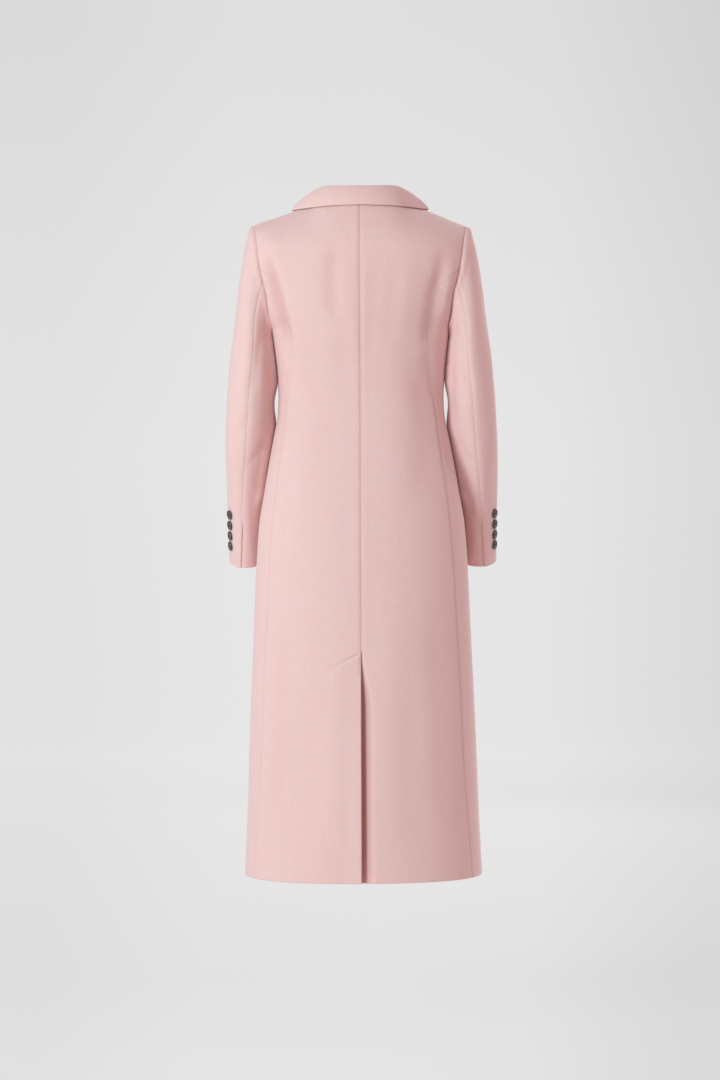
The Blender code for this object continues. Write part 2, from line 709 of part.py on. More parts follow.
def plain_material(name, colour, roughness):
    material = bpy.data.materials.get(name)
    if material is None:
        material = bpy.data.materials.new(name)
        material.use_nodes = True
        shader = material.node_tree.nodes["Principled BSDF"]
        shader.inputs["Base Color"].default_value = colour
        shader.inputs["Roughness"].default_value = roughness
        shader.inputs["Metallic"].default_value = 0.0
        material.diffuse_color = colour
    return material


def add_object(name, shape, material, smooth_angle=40):
    mesh = bpy.data.meshes.new(name)
    shape.to_mesh(mesh)
    shape.free()
    mesh.shade_smooth()
    mesh.set_sharp_from_angle(angle=math.radians(smooth_angle))
    mesh.materials.append(material)
    made = bpy.data.objects.new(name, mesh)
    bpy.context.scene.collection.objects.link(made)
    return made


def wall(name, outer, inner, keep=None):
    """A closed solid between two grids of points, over the cells that keep holds."""
    rows, columns = outer.shape[:2]
    if keep is None:
        keep = np.ones((rows - 1, columns - 1), bool)
    shape = bmesh.new()
    faces = [[shape.verts.new(p) for p in grid.reshape(-1, 3)] for grid in (outer, inner)]
    edges = {}
    for i, j in zip(*np.nonzero(keep)):
        a, b = i * columns + j, i * columns + j + 1
        d, c = a + columns, b + columns
        shape.faces.new([faces[0][k] for k in (a, b, c, d)])
        shape.faces.new([faces[1][k] for k in (d, c, b, a)])
        for pair in ((a, b), (b, c), (c, d), (d, a)):
            edges[frozenset(pair)] = None if frozenset(pair) in edges else pair
    for pair in filter(None, edges.values()):
        start, end = pair
        shape.faces.new([faces[0][end], faces[0][start], faces[1][start], faces[1][end]])
    loose = [v for v in shape.verts if not v.link_faces]
    bmesh.ops.delete(shape, geom=loose, context="VERTS")
    bmesh.ops.remove_doubles(shape, verts=shape.verts[:], dist=2e-5)
    bmesh.ops.dissolve_degenerate(shape, edges=shape.edges[:], dist=2e-5)
    bmesh.ops.triangulate(shape, faces=shape.faces[:])
    bmesh.ops.recalc_face_normals(shape, faces=shape.faces[:])
    return add_object(name, shape, cloth_material())


def panel(name, points, normals, side=1, thickness=WALL, keep=None):
    outer = to_world(points, side)
    inner = to_world(points - normals * thickness, side)
    return wall(name, outer, inner, keep)


def surface_tree(points, side=1):
    """A tree to find where a straight line meets a panel's outer face."""
    world = to_world(points, side)
    rows, columns = world.shape[:2]
    corner = np.arange(rows * columns).reshape(rows, columns)
    quads = np.stack([corner[:-1, :-1], corner[:-1, 1:], corner[1:, 1:], corner[1:, :-1]], axis=-1)
    return BVHTree.FromPolygons(world.reshape(-1, 3).tolist(), quads.reshape(-1, 4).tolist())


def meet(trees, start, way):
    """The first point and outward normal that a line meets on any of the panels."""
    hits = [tree.ray_cast(Vector(start), Vector(way)) for tree in trees]
    hits = [hit for hit in hits if hit[0] is not None]
    if not hits:
        near = Vector(start) + Vector(way) * NEAR_REACH
        hits = [tree.find_nearest(near) for tree in trees]
    point, normal, _, _ = min(hits, key=lambda hit: hit[3])
    normal = np.array(normal)
    return np.array(point), normal * -np.sign(np.dot(normal, way))


# ---------------------------------------------------------------- the pieces


def build_backs():
    for name, side in (("back_left", 1), ("back_right", -1)):
        points, normals = back_grid(side)
        keep = None
        if side < 0:
            keep = np.ones((points.shape[0] - 1, points.shape[1] - 1), bool)
            keep[SKIRT_ROWS.index(VENT_FIRST) :, :3] = False
        panel(name, points, normals, side, keep=keep)


def build_sides():
    points, normals = side_grid()
    for name, side in (("side_left", 1), ("side_right", -1)):
        depth = fold_depth(side * points[..., 0], points[..., 2]) * (points[..., 1] > 0)
        panel(name, points - normals * depth[..., None], normals, side)


def build_fronts():
    for name, side in (("front_left", 1), ("front_right", -1)):
        points, normals = front_grid(side)
        panel(name, points, normals, side)


def build_sleeves():
    for part, columns in SLEEVE_COLUMNS.items():
        points, normals = sleeve_grid(part, columns)
        for name, side in (("left", 1), ("right", -1)):
            panel(f"sleeve_{part}_{name}", points, normals, side)


def roll_point(height):
    """Seen from the front, the point of the left roll line at a height."""
    if height <= SECTION_TOP:
        return np.array([float(front_edge(height)), height])
    return np.array([float(front_cap(0.0, roll_share(height))[0]), height])


def lapel_outline(share):
    """Seen from the front: the roll line's point and the free edge's point at each row."""
    first = BREAK_HEIGHT + LAPEL_START
    roll = roll_point(first + (GORGE_HEIGHT - first) * share) + np.array([EDGE_CATCH, 0])
    start = np.array([float(front_edge(first)) + LAPEL_START, first])
    edge = start + (np.array(LAPEL_TIP) - start) * share
    belly = LAPEL_BELLY * math.sin(math.pi * share)
    return roll, edge + np.array([belly, -belly * 0.4])


def gorge_row(trees, depth):
    """The fall's front end: along the gorge to the notch, then up to the collar's own tip."""
    roll = roll_point(GORGE_HEIGHT) + np.array([EDGE_CATCH, 0])
    notch = roll + (np.array(LAPEL_TIP) - roll) * NOTCH_SHARE
    clear = np.array([0, GORGE_GAP])
    row = []
    for share in np.linspace(0, 1, FALL_POINTS):
        along, up = min(share / GORGE_PART, 1), max(share - GORGE_PART, 0) / (1 - GORGE_PART)
        x, height = roll + (notch - roll) * along + (np.array(COLLAR_TIP) - notch) * up + clear
        point, normal = meet(trees, (x, -1, height - NECK_HEIGHT), (0, 1, 0))
        lift = LAPEL_LIFT + LAPEL_EDGE_LIFT * share + COLLAR_WALL - depth
        row.append(point + normal * lift + np.array([0, 0, NECK_HEIGHT]))
    return np.array(row)


def build_lapels(rows=16, columns=5):
    for name, side in (("lapel_left", 1), ("lapel_right", -1)):
        trees = [surface_tree(front_grid(side)[0], side)]
        outer = np.zeros((rows + 1, columns + 1, 3))
        inner = np.zeros_like(outer)
        for i in range(rows + 1):
            roll, edge = lapel_outline(i / rows)
            for j in range(columns + 1):
                x, height = roll + (edge - roll) * (j / columns)
                point, normal = meet(trees, (side * x, -1, height - NECK_HEIGHT), (0, 1, 0))
                lift = LAPEL_LIFT + LAPEL_EDGE_LIFT * (j / columns) * (i / rows)
                inner[i, j] = point + normal * lift
                outer[i, j] = point + normal * (lift + WALL)
        wall(name, outer, inner)


def collar_station(station):
    """Neck seam point, lean and stand height at a station of the collar."""
    gorge = roll_share(GORGE_HEIGHT)
    if station <= 1:
        seam = neckline(np.array(station))
    else:
        seam = front_cap(0.0, 1 - (station - 1) * (1 - gorge))
    lean = unit([smooth(COLLAR, f"lean_{axis}", station) for axis in "xyz"])
    return seam, lean, float(smooth(COLLAR, "stand_height", station))


def roll_share(height):
    """How far up the front cap its free edge reaches a height."""
    up = np.linspace(0, 1, 200)
    return float(np.interp(height, front_cap(0.0, up)[..., 2], up))


def collar_outward(station):
    """The level direction that points away from the neck."""
    step = 0.02
    before, _, _ = collar_station(max(station - step, 0))
    after, _, _ = collar_station(min(station + step, 2))
    along = after - before
    way = np.array([-along[1], along[0], 0.0])
    if station < 1e-6:
        return np.array([0, 1.0, 0])
    return unit(way * np.sign(way[0] + way[1] * 0.2 + 1e-9))


def mirrored_rows(build_row, stations):
    """Rows from one gorge over the centre back to the other."""
    half = [build_row(station) for station in stations]
    other = [np.asarray(row) * np.array([-1, 1, 1]) for row in half[:0:-1]]
    return np.array(other + half)


COLLAR_STATIONS = np.linspace(0, 2, 15)


def stand_row(station, depth):
    seam, lean, height = collar_station(station)
    outward = collar_outward(station)
    share = np.linspace(0, 1, 4)[:, None]
    belly = outward * STAND_BELLY * np.sin(np.pi * share)
    return seam + lean * (STAND_GAP + height * share) + belly - outward * depth


def fall_row(trees, station, depth):
    """One section of the turned-down part, from above the stand to its free edge."""
    if station == 2:
        return gorge_row(trees, depth)
    seam, lean, height = collar_station(station)
    outward = collar_outward(station)
    start = seam + lean * (STAND_GAP + height + ROLL_GAP) - outward * WALL
    turn = math.radians(max(float(smooth(COLLAR, "edge_turn", station)), CLEAR_OF_CENTRE))
    edge_height = float(smooth(COLLAR, "edge_height", station)) - NECK_HEIGHT
    way = np.array([math.sin(turn), math.cos(turn), 0.0])
    hit, normal = meet(trees, tuple(way * 0.6 + np.array([0, 0, edge_height])), tuple(-way))
    edge = hit + normal * (COLLAR_WALL + COLLAR_LIFT) + np.array([0, 0, NECK_HEIGHT])
    edge[0] *= station > 0
    first = start + lean * ROLL_RISE
    second = edge + (start - edge) * ROLL_SHARE + np.array([0, 0, ROLL_LIFT]) + outward * ROLL_OUT
    t = np.linspace(0, 1, FALL_POINTS)[:, None]
    curve = (1 - t) ** 3 * start + 3 * (1 - t) ** 2 * t * first
    curve = curve + 3 * (1 - t) * t**2 * second + t**3 * edge
    run = 3 * (1 - t) ** 2 * (first - start) + 6 * (1 - t) * t * (second - first)
    run = run + 3 * t**2 * (edge - second)
    along = np.cross(outward, np.array([0, 0, 1.0]))
    inward = unit(np.cross(run, along))
    inward = inward * np.sign(inward[0] @ outward)
    return curve + inward * depth


def build_collar():
    short = COLLAR_STATIONS[:-1]
    outer, inner = (mirrored_rows(lambda s: stand_row(s, d), short) for d in (0, WALL))
    wall("collar_stand", to_world(outer), to_world(inner))
    trees = []
    for side in (1, -1):
        trees.append(surface_tree(back_grid(1, 40)[0], side))
        trees.append(surface_tree(front_grid(1, 40)[0], side))
    outer, inner = (
        mirrored_rows(lambda s: fall_row(trees, s, d), COLLAR_STATIONS) for d in (0, COLLAR_WALL)
    )
    wall("collar_fall", to_world(outer), to_world(inner))


def button(name, size, centre, normal, up=(0, 0, 1)):
    """A dished disc on its seat; its own Z axis points away from the cloth."""
    radius, thickness = size
    profile = (
        (0.0, 0.0),
        (0.72 * radius, 0.0),
        (radius, 0.45 * thickness),
        (0.93 * radius, 0.95 * thickness),
        (0.80 * radius, thickness),
        (0.62 * radius, 0.72 * thickness),
        (0.0, 0.66 * thickness),
    )
    shape = bmesh.new()
    verts = [shape.verts.new((r, 0, z)) for r, z in profile]
    edges = [shape.edges.new(pair) for pair in zip(verts, verts[1:])]
    bmesh.ops.spin(
        shape, geom=verts + edges, axis=(0, 0, 1), cent=(0, 0, 0), angle=math.tau, steps=16
    )
    bmesh.ops.remove_doubles(shape, verts=shape.verts[:], dist=1e-5)
    bmesh.ops.recalc_face_normals(shape, faces=shape.faces[:])
    made = add_object(name, shape, plain_material("horn", HORN_COLOUR, 0.35), 30)
    axis_z = Vector(normal).normalized()
    axis_x = Vector(up).cross(axis_z).normalized()
    turn = Matrix((axis_x, axis_z.cross(axis_x), axis_z)).transposed().to_4x4()
    made.matrix_world = Matrix.Translation(Vector(centre) + axis_z * BUTTON_GAP) @ turn
    return made


def build_cuff_buttons():
    reach = SLEEVE_TOP_RING - SLEEVE["height"][0]
    for name, side in (("left", 1), ("right", -1)):
        trees = [surface_tree(sleeve_grid("top", SLEEVE_COLUMNS["top"])[0], side)]
        for count, height in enumerate(CUFF_BUTTON_HEIGHTS, 1):
            row = 1 + (SLEEVE_TOP_RING - height) / reach
            point = to_world(sleeve_point(CUFF_BUTTON_TURN, row), side)
            normal = sleeve_normal(CUFF_BUTTON_TURN, row) * np.array([side, 1, 1])
            point, normal = meet(trees, point + normal * 0.05, -normal)
            button(f"cuff_button_{name}_{count}", CUFF_BUTTON, point, normal)


def build_front_buttons():
    trees = [surface_tree(front_grid(-1, 40)[0], -1)]
    for count, height in enumerate(FRONT_BUTTON_HEIGHTS, 1):
        point, normal = meet(trees, (0, -1, height - NECK_HEIGHT), (0, 1, 0))
        button(f"front_button_{count}", FRONT_BUTTON, point, normal)


def clear_scene():
    for old in list(bpy.data.objects):
        bpy.data.objects.remove(old, do_unlink=True)


def main():
    clear_scene()
    build_backs()
    build_sides()
    build_fronts()
    build_sleeves()
    build_lapels()
    build_collar()
    build_cuff_buttons()
    build_front_buttons()


main()
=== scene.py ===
"""Looks of the long tailored wool overcoat: fine cloth shells, buttons, sewing, light and camera.

Metres, +Z up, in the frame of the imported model. The front faces -Y, the back +Y, and the
wearer's left is +X. Heights in the tables are above the hem. Angles round the body start at
the centre back, grow through the side and reach 180 degrees at the centre front.
"""

import math
from functools import cache

import bmesh
import bpy
import numpy as np
from mathutils import Matrix, Vector
from mathutils.bvhtree import BVHTree


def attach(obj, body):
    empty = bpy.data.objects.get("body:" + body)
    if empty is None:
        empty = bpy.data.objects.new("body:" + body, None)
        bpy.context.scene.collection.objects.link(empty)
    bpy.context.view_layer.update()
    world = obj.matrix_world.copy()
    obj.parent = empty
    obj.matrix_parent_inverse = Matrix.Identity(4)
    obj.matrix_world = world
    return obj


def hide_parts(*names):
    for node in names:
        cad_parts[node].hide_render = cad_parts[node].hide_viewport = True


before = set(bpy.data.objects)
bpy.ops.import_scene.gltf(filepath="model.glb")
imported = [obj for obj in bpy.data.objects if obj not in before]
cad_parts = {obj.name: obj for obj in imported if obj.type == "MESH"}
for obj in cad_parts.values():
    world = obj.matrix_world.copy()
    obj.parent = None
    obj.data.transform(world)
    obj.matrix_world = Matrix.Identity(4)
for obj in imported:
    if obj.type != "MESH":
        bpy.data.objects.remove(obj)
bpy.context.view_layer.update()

# ---------------------------------------------------------------- the coat's sizes

NECK_HEIGHT = 1.236  # shoulder-neck points above the hem
WALL = 0.0025  # cloth thickness
COLLAR_WALL = 0.003
SEAM_INSET = 0.00003  # how far short of a seam each shell's edge stops
ROUNDNESS = 2.3  # superellipse power of the body's sections
CELL = 0.0034  # spacing of the shells' points
SEAM_CROWDING = 0.6  # how much closer together the columns stand beside the seams

BACK_SPAN, FRONT_SPAN, SIDE_SPAN = 0.20, 0.18, 0.15  # widths that the columns are counted over
SLEEVE_SPAN = {"top": 0.22, "under": 0.15}
CAP_RISE, SIDE_TOP_RISE = 0.125, 0.19  # lengths that the rows are counted over
SLEEVE_CAP_FALL, SLEEVE_FALL = 0.20, 0.42
LAPEL_RISE, LAPEL_SPAN = 0.26, 0.10
ROLL_SAMPLES = 200
MERGE_DISTANCE = 1e-6
SHARP_ANGLE = math.radians(50)

UNDERARM = 1.000
SECTION_TOP = 1.140  # the last level section, from which the caps go over the shoulders
NECK_HALF_WIDTH = 0.080
BACK_NECK_DEPTH = 0.066
BACK_NECK_HEIGHT = 1.228
SHOULDER_TIP = (0.195, -0.005, 1.187)
SHOULDER_NORMAL = (0.37, 0.0, 0.929)
CAP_STEP = 0.005  # down from a section, to find how it rises
BACK_NECK_SHARE = 0.4  # of the back cap's top row, the part along the neck seam
BACK_EVEN_WIDTH = 0.12  # how near to that part's end the cap is evened out, and how many times
BACK_EVEN_TIMES = 12
BACK_CAP = {
    "neck_way": (0, -0.62, 0.78),
    "shoulder_way": (-0.04, -0.96, 0.30),
    "start_pull": 1.15,
    "end_pull": 0.088,
}
FRONT_CAP = {"shoulder_way": (0.04, 0.95, 0.33), "start_pull": 1.1, "end_pull": 0.095}

VENT_TOP = 0.413
VENT_UNDERLAP = 0.045
VENT_SLOPE = 0.53  # of the underlap's top edge and the stitched line over it
VENT_DIP_TOP = 0.0044  # how far the right half sinks beside the vent: at its top, and in full
VENT_DIP = 0.0135
VENT_DIP_HEIGHT = 0.32  # below which it is full
VENT_DIP_WIDTH = 0.025  # how far outwards it fades, and what share of that at the top
VENT_DIP_NARROW = 0.2
VENT_DIP_WIDE_HEIGHT = 0.30
VENT_LIFT = 0.0028  # how far the lap's free edge stands off
VENT_LIFT_HEIGHT = 0.12  # below which it does so in full
VENT_LIFT_WIDTH = 0.030
VENT_STITCH_START = 0.003  # of the stitched line, out from the centre back and below the top
VENT_STITCH_LENGTH = 0.058
VENT_DITCH = 0.0019  # how deep that line sinks, and how wide
VENT_DITCH_WIDTH = 0.0024
VENT_SWELL = 0.0016  # the swelling below it
VENT_STITCHES = 17
VENT_STITCHED = 0.85  # the share of the line that the stitches take up

FRONT_EXTENSION = 0.025
FRONT_RAISE = 0.0066  # how far the right front lies proud, fading outwards and upwards
RAISE_FADES_OUT = (0.035, 0.095)
RAISE_FADES_UP = (1.03, 1.11)
BREAK_HEIGHT = 0.950  # where the lapels begin to turn over

SLEEVE_START = -0.0004  # out from the armhole's edge
SLEEVE_TOP_RING = 0.985
SLEEVE_BACK_SEAM_START = 95.0  # degrees around the arm, at the armhole
SLEEVE_FRONT_SEAM_START = 236.0
SLEEVE_FRONT_SEAM = 240.0
CUFF_VENT = 0.110  # length of the lapped end of the sleeve's back seam
CUFF_LAP_STARTS = (CUFF_VENT + 0.004, CUFF_VENT - 0.040)  # the lap's start, and where it is whole
CUFF_LAP = 0.0035  # how far the top sleeve's edge laps over there, and how proud
CUFF_LAP_STEP = 0.0013
CUFF_LAP_WIDTH = 0.008
CUFF_STEP_WIDTH = 0.014
CUFF_SEAM_LOST = 0.6  # how much shallower the seam is where the sleeve laps
CUFF_GROOVE = 0.0009  # the pressed line above the cuff's edge
CUFF_GROOVE_PLACE = 0.006
CUFF_GROOVE_WIDTH = 0.0028
ARM_RADIUS, SEAM_RADIUS = 0.052, 0.05  # the arm's, for its creases' width and its seams' inset
CAP_SWELL = 0.0016  # the soft roll of cloth around the armhole
CAP_SWELL_PLACE = 0.010
CAP_SWELL_WIDTH = 0.008
CAP_PULLS = {  # how the sleeve leaves the armhole
    "top": (0.055, 0, 0.012),
    "bottom": (0.003, 0, -0.015),
    "sides": (0.012, 0, -0.045),
    "backwards": (0, 0.010, 0),
}
REST_REACH = 0.014  # the arm rests where the body is nearer than this
REST_GAP = 0.0008
REST_MOST = 0.0080
REST_SPANS = (  # heights where that fades, above and below, under the arm and at the hip
    ((1.03, 1.00), (0.870, 0.910)),
    ((0.865, 0.815), (0.66, 0.70)),
)

LAPEL_LIFT = 0.0011  # off the front, and more at its edge
LAPEL_EDGE_LIFT = 0.0012
GORGE_HEIGHT = 1.188  # of the gorge seam's inner end, on the roll line
LAPEL_TIP = (0.150, 1.168)  # seen from the front: out from the centre, and up
LAPEL_START = 0.004
LAPEL_BELLY = 0.010
LAPEL_BELLY_DROP = 0.4
EDGE_CATCH = 0.0008
COLLAR_TIP = (0.125, 1.193)
NOTCH_SHARE = 0.58  # of the way from the roll line to the lapel's tip
GORGE_PART = 4 / 7  # of the collar's end, the part that follows the gorge
GORGE_GAP = 0.0012

COLLAR_STATIONS = 64  # from the centre back (0) past the shoulder (1) to the gorge (2)
STAND_END = 2 - 2 / 14  # the stand stops short of the gorge
STAND_POINTS, FALL_POINTS = 9, 22
STAND_GAP = 0.0006
STAND_BELLY = 0.0012
ROLL_GAP = 0.0009  # between the stand's top and the fall's first edge
ROLL_RISE = 0.015
ROLL_SHARE = 0.42
ROLL_LIFT = 0.010
ROLL_OUT = 0.006
COLLAR_LIFT = 0.0008
CLEAR_OF_CENTRE = 1.0  # degrees, so that no line meets the centre back's seam itself
COLLAR_FAR = 0.6  # outside the coat at the collar, where its lines inwards start
NEAR_REACH = 0.9  # how far along a line that misses the cloth the nearest point is looked for

HEM_DEPTH = 0.045  # cloth turned up inside the hem and the cuffs
HEM_STEP = 0.0016
HEM_FADE = 0.004
ALLOWANCE = 0.013  # cloth pressed open inside each seam
ALLOWANCE_STEP = 0.0009
ALLOWANCE_FADE = 0.003
DITCH = 0.0007  # how deep a seam sinks, and how wide
DITCH_WIDTH = 0.0018
SWELL = 0.00035  # the soft swelling beside it, over the pressed cloth
SWELL_PLACE = 0.0085
SWELL_WIDTH = 0.0050
SEAM_PAINTED_SHADE = 0.45  # the share of painted shade, a deeper colour standing in for the shade in a seam, and its width
PAINTED_SHADE_WIDTH = 0.0022
FOLD_PAINTED_SHADE = 65.0  # the share of painted shade for a metre's depth of fold
PRINCESS_FADES = (0.83, 0.90)  # heights over which the side-back seams fade above the waist
PRINCESS_TOP_FADE = 0.02
PRINCESS_LOST = 0.85
PRINCESS_LEFT = 0.35  # how far the one on the wearer's left shows
FOLD_END = 0.25  # the share of a fold's length at each end where it fades, and how fast
FOLD_FADE = 1.6
WAVES = 6
BODY_WAVER = (0.16, 0.0006, 3)  # size, depth and seed
SLEEVE_WAVER = (0.12, 0.0007, 5)

CAMERA_DISTANCE = 5.60
CAMERA_HEIGHT = 0.612  # above the hem
CAMERA_TURN = 1.0  # degrees off the centre back
CAMERA_ROLL = -0.30
CAMERA_SIDE = 0.0035  # the camera stands this far to the wearer's left
CAMERA_LENS, CAMERA_SENSOR = 101.5, 36  # mm
FLOOR_DROP = 0.303  # the floor below the hem
SHOULDER_RISE = 0.0045  # how much higher the wearer's left shoulder stands, and between where
SHOULDER_RISE_OUT = (0.125, 0.19)
SHOULDER_RISE_UP = (1.02, 1.15)

HOLE_RADIUS = 0.085  # of the button's radius
HOLE_PLACE = 0.20
BUTTON_TOP = 0.69  # of its thickness, between the holes
BUTTON_TURN = 12.0  # degrees that a button may be turned
BUTTONS = {"cuff": (0.009, 0.0036), "front": (0.014, 0.0042)}  # radius and thickness
WRIST = (0.2140, -0.085)  # the arm's middle at the cuff's buttons
BUTTONHOLE_HALF = (0.016, 0.0014)  # half its length and width
BUTTONHOLE_SHIFT = 0.004
BUTTONHOLE_SQUARED = (0.35, 0.8)  # powers that make its ends and its sides fuller than an ellipse
BUTTONHOLE_STITCHES = 64
BUTTONHOLE_STITCH = ((0.0002, -0.0006), (0.0008, 0.0), (0.0002, 0.0009))  # off the cloth, outwards
VENT_STITCH = ((0.12, -0.0003), (0.50, 0.00015), (0.88, -0.0003))  # along its share, off the cloth
BUTTONHOLE_CORD, VENT_CORD = 0.00032, 0.00028  # radii of their threads
BROWN, PINK = (0.10, 0.055, 0.045), (0.60, 0.36, 0.35)  # colours of the threads


def table(names, *rows):
    """A short table as a dictionary of columns."""
    return dict(zip(names.split(), np.array(rows, float).T))


BODY = table(
    "height half_width back_depth front_depth",
    (0.000, 0.2180, 0.185, 0.165),
    (0.100, 0.2130, 0.180, 0.160),
    (0.244, 0.2080, 0.170, 0.153),
    (0.391, 0.2020, 0.160, 0.145),
    (0.530, 0.1960, 0.150, 0.136),
    (0.638, 0.1890, 0.137, 0.128),
    (0.702, 0.1786, 0.126, 0.122),
    (0.766, 0.1676, 0.113, 0.117),
    (0.805, 0.1604, 0.105, 0.114),
    (0.843, 0.1534, 0.098, 0.111),
    (0.872, 0.1520, 0.095, 0.110),
    (0.897, 0.1527, 0.097, 0.112),
    (0.924, 0.1546, 0.101, 0.117),
    (0.980, 0.1620, 0.112, 0.132),
    (1.000, 0.1635, 0.115, 0.135),
    (1.050, 0.1635, 0.120, 0.131),
    (1.095, 0.1635, 0.120, 0.121),
    (1.140, 0.1635, 0.113, 0.107),
)
ARMHOLE_BACK = table(
    "height out",
    (1.000, 0.1635),
    (1.013, 0.1650),
    (1.058, 0.1695),
    (1.085, 0.1770),
    (1.112, 0.1830),
    (1.154, 0.1890),
    (1.187, 0.1950),
)
ARMHOLE_FRONT = table(
    "height out",
    (1.000, 0.1635),
    (1.030, 0.1625),
    (1.060, 0.1615),
    (1.100, 0.1670),
    (1.150, 0.1820),
    (1.187, 0.1950),
)
ARMHOLE_WIDEST = {"back": (0.062, 1.090), "front": (0.066, 1.065)}  # depth, height
SIDE_BACK_SEAM = table(
    "height out",
    (0.000, 0.1980),
    (0.110, 0.1900),
    (0.235, 0.1820),
    (0.373, 0.1770),
    (0.465, 0.1720),
    (0.586, 0.1660),
    (0.676, 0.1580),
    (0.753, 0.1480),
    (0.820, 0.1400),
    (0.864, 0.1345),
    (0.900, 0.1285),
    (0.945, 0.1250),
    (1.000, 0.1275),
    (1.050, 0.1385),
    (1.085, 0.1600),
    (1.105, 0.1815),
)
SIDE_FRONT_SEAM = table(
    "height out",
    (0.000, 0.1520),
    (0.200, 0.1450),
    (0.400, 0.1380),
    (0.600, 0.1300),
    (0.750, 0.1150),
    (0.872, 0.1000),
    (0.940, 0.1050),
    (1.000, 0.1150),
    (1.040, 0.1330),
    (1.075, 0.1632),
)
BACK_SEAM_TOP = 1.105
FRONT_SEAM_TOP = 1.075
LEVEL_TOP = 0.900  # rows are level up to here, and then follow the seams
SLEEVE = table(
    "height centre_x centre_y half_width half_depth tilt",
    (0.574, 0.2160, -0.0960, 0.0340, 0.0490, 0.27),
    (0.648, 0.2145, -0.0720, 0.0358, 0.0530, 0.27),
    (0.722, 0.2132, -0.0450, 0.0380, 0.0575, 0.23),
    (0.795, 0.2082, -0.0160, 0.0428, 0.0620, 0.10),
    (0.869, 0.2028, 0.0000, 0.0438, 0.0660, 0.00),
    (0.940, 0.1998, -0.0020, 0.0414, 0.0690, 0.00),
    (0.985, 0.2000, -0.0020, 0.0355, 0.0700, 0.00),
)
SLEEVE_BACK_SEAM = table(
    "height turn",
    (0.574, 69.0),
    (0.630, 73.0),
    (0.676, 78.0),
    (0.714, 83.0),
    (0.789, 88.0),
    (0.863, 88.5),
    (0.935, 94.0),
    (0.985, 102.0),
)
COLLAR = table(
    "station lean_x lean_y lean_z stand_height edge_turn edge_height",
    (0.0, 0.00, -0.28, 0.96, 0.0250, 0.0, 1.2185),
    (0.5, -0.20, -0.18, 0.96, 0.0230, 45.0, 1.2175),
    (1.0, -0.32, 0.00, 0.95, 0.0190, 90.0, 1.2165),
    (1.5, -0.52, -0.08, 0.85, 0.0150, 103.0, 1.2060),
    (2.0, -0.75, -0.15, 0.64, 0.0040, 113.0, 1.1930),
)

# ---------------------------------------------------------------- folds, placed one by one

# Each fold runs from a high point to a low one; side 1 is the wearer's left. A negative depth
# stands proud. The first rows are the ones that the solids have too.
BACK_FOLDS = table(
    "high_x high_height low_x low_height width depth",
    (0.154, 1.110, 0.130, 0.940, 0.013, 0.0045),
    (-0.150, 1.110, -0.124, 0.960, 0.014, 0.0034),
    (-0.124, 0.960, -0.138, 0.860, 0.011, 0.0022),
    (0.058, 1.115, 0.052, 1.010, 0.017, 0.0018),
    (-0.026, 1.090, -0.022, 0.940, 0.013, 0.0014),
    (0.090, 0.330, 0.112, 0.020, 0.040, 0.0040),
    (-0.085, 0.380, -0.105, 0.020, 0.040, 0.0035),
)
BACK_CREASES = table(
    "high_x high_height low_x low_height width depth",
    (0.158, 1.160, 0.150, 0.985, 0.020, -0.0055),
    (0.166, 1.130, 0.131, 0.965, 0.0095, 0.0062),
    (0.048, 1.150, 0.046, 1.010, 0.013, 0.0024),
    (0.004, 1.130, 0.000, 0.940, 0.010, 0.0010),
    (-0.028, 1.130, -0.040, 0.960, 0.014, 0.0009),
    (-0.086, 1.120, -0.080, 0.960, 0.018, -0.0022),
    (-0.136, 1.090, -0.122, 0.960, 0.014, 0.0028),
    (-0.118, 0.960, -0.106, 0.860, 0.018, 0.0014),
    (-0.150, 1.140, -0.141, 1.060, 0.011, 0.0028),
    (-0.168, 1.120, -0.149, 1.010, 0.009, -0.0036),
    (-0.060, 1.120, -0.052, 0.960, 0.018, 0.0011),
    (0.032, 1.060, 0.036, 0.900, 0.015, 0.0008),
    (0.104, 1.020, 0.086, 0.840, 0.020, 0.0010),
    (-0.082, 1.040, -0.092, 0.860, 0.018, 0.0012),
    (0.060, 0.900, 0.074, 0.700, 0.026, 0.0009),
    (-0.050, 0.880, -0.062, 0.660, 0.026, -0.0010),
    (-0.112, 0.920, -0.114, 0.680, 0.024, 0.0026),
    (0.040, 0.420, 0.050, 0.060, 0.022, -0.0012),
    (-0.055, 0.500, -0.062, 0.080, 0.024, -0.0014),
    (-0.130, 0.520, -0.150, 0.060, 0.020, 0.0016),
    (0.140, 0.480, 0.158, 0.080, 0.018, 0.0014),
)
FRONT_CREASES = table(
    "high_x high_height low_x low_height width depth",
    (0.150, 1.100, 0.118, 0.960, 0.014, 0.0042),
    (-0.148, 1.100, -0.120, 0.950, 0.014, 0.0046),
    (0.090, 1.050, 0.030, 0.925, 0.014, 0.0016),
    (-0.086, 1.040, -0.034, 0.930, 0.015, 0.0014),
    (0.100, 0.960, 0.020, 0.905, 0.010, 0.0014),
    (-0.100, 0.950, -0.030, 0.900, 0.010, 0.0012),
    (0.070, 0.500, 0.092, 0.030, 0.034, 0.0036),
    (-0.076, 0.440, -0.088, 0.020, 0.036, 0.0034),
    (0.128, 0.560, 0.150, 0.040, 0.022, -0.0018),
    (-0.126, 0.600, -0.146, 0.060, 0.022, -0.0016),
    (0.020, 0.620, 0.034, 0.160, 0.022, 0.0010),
)
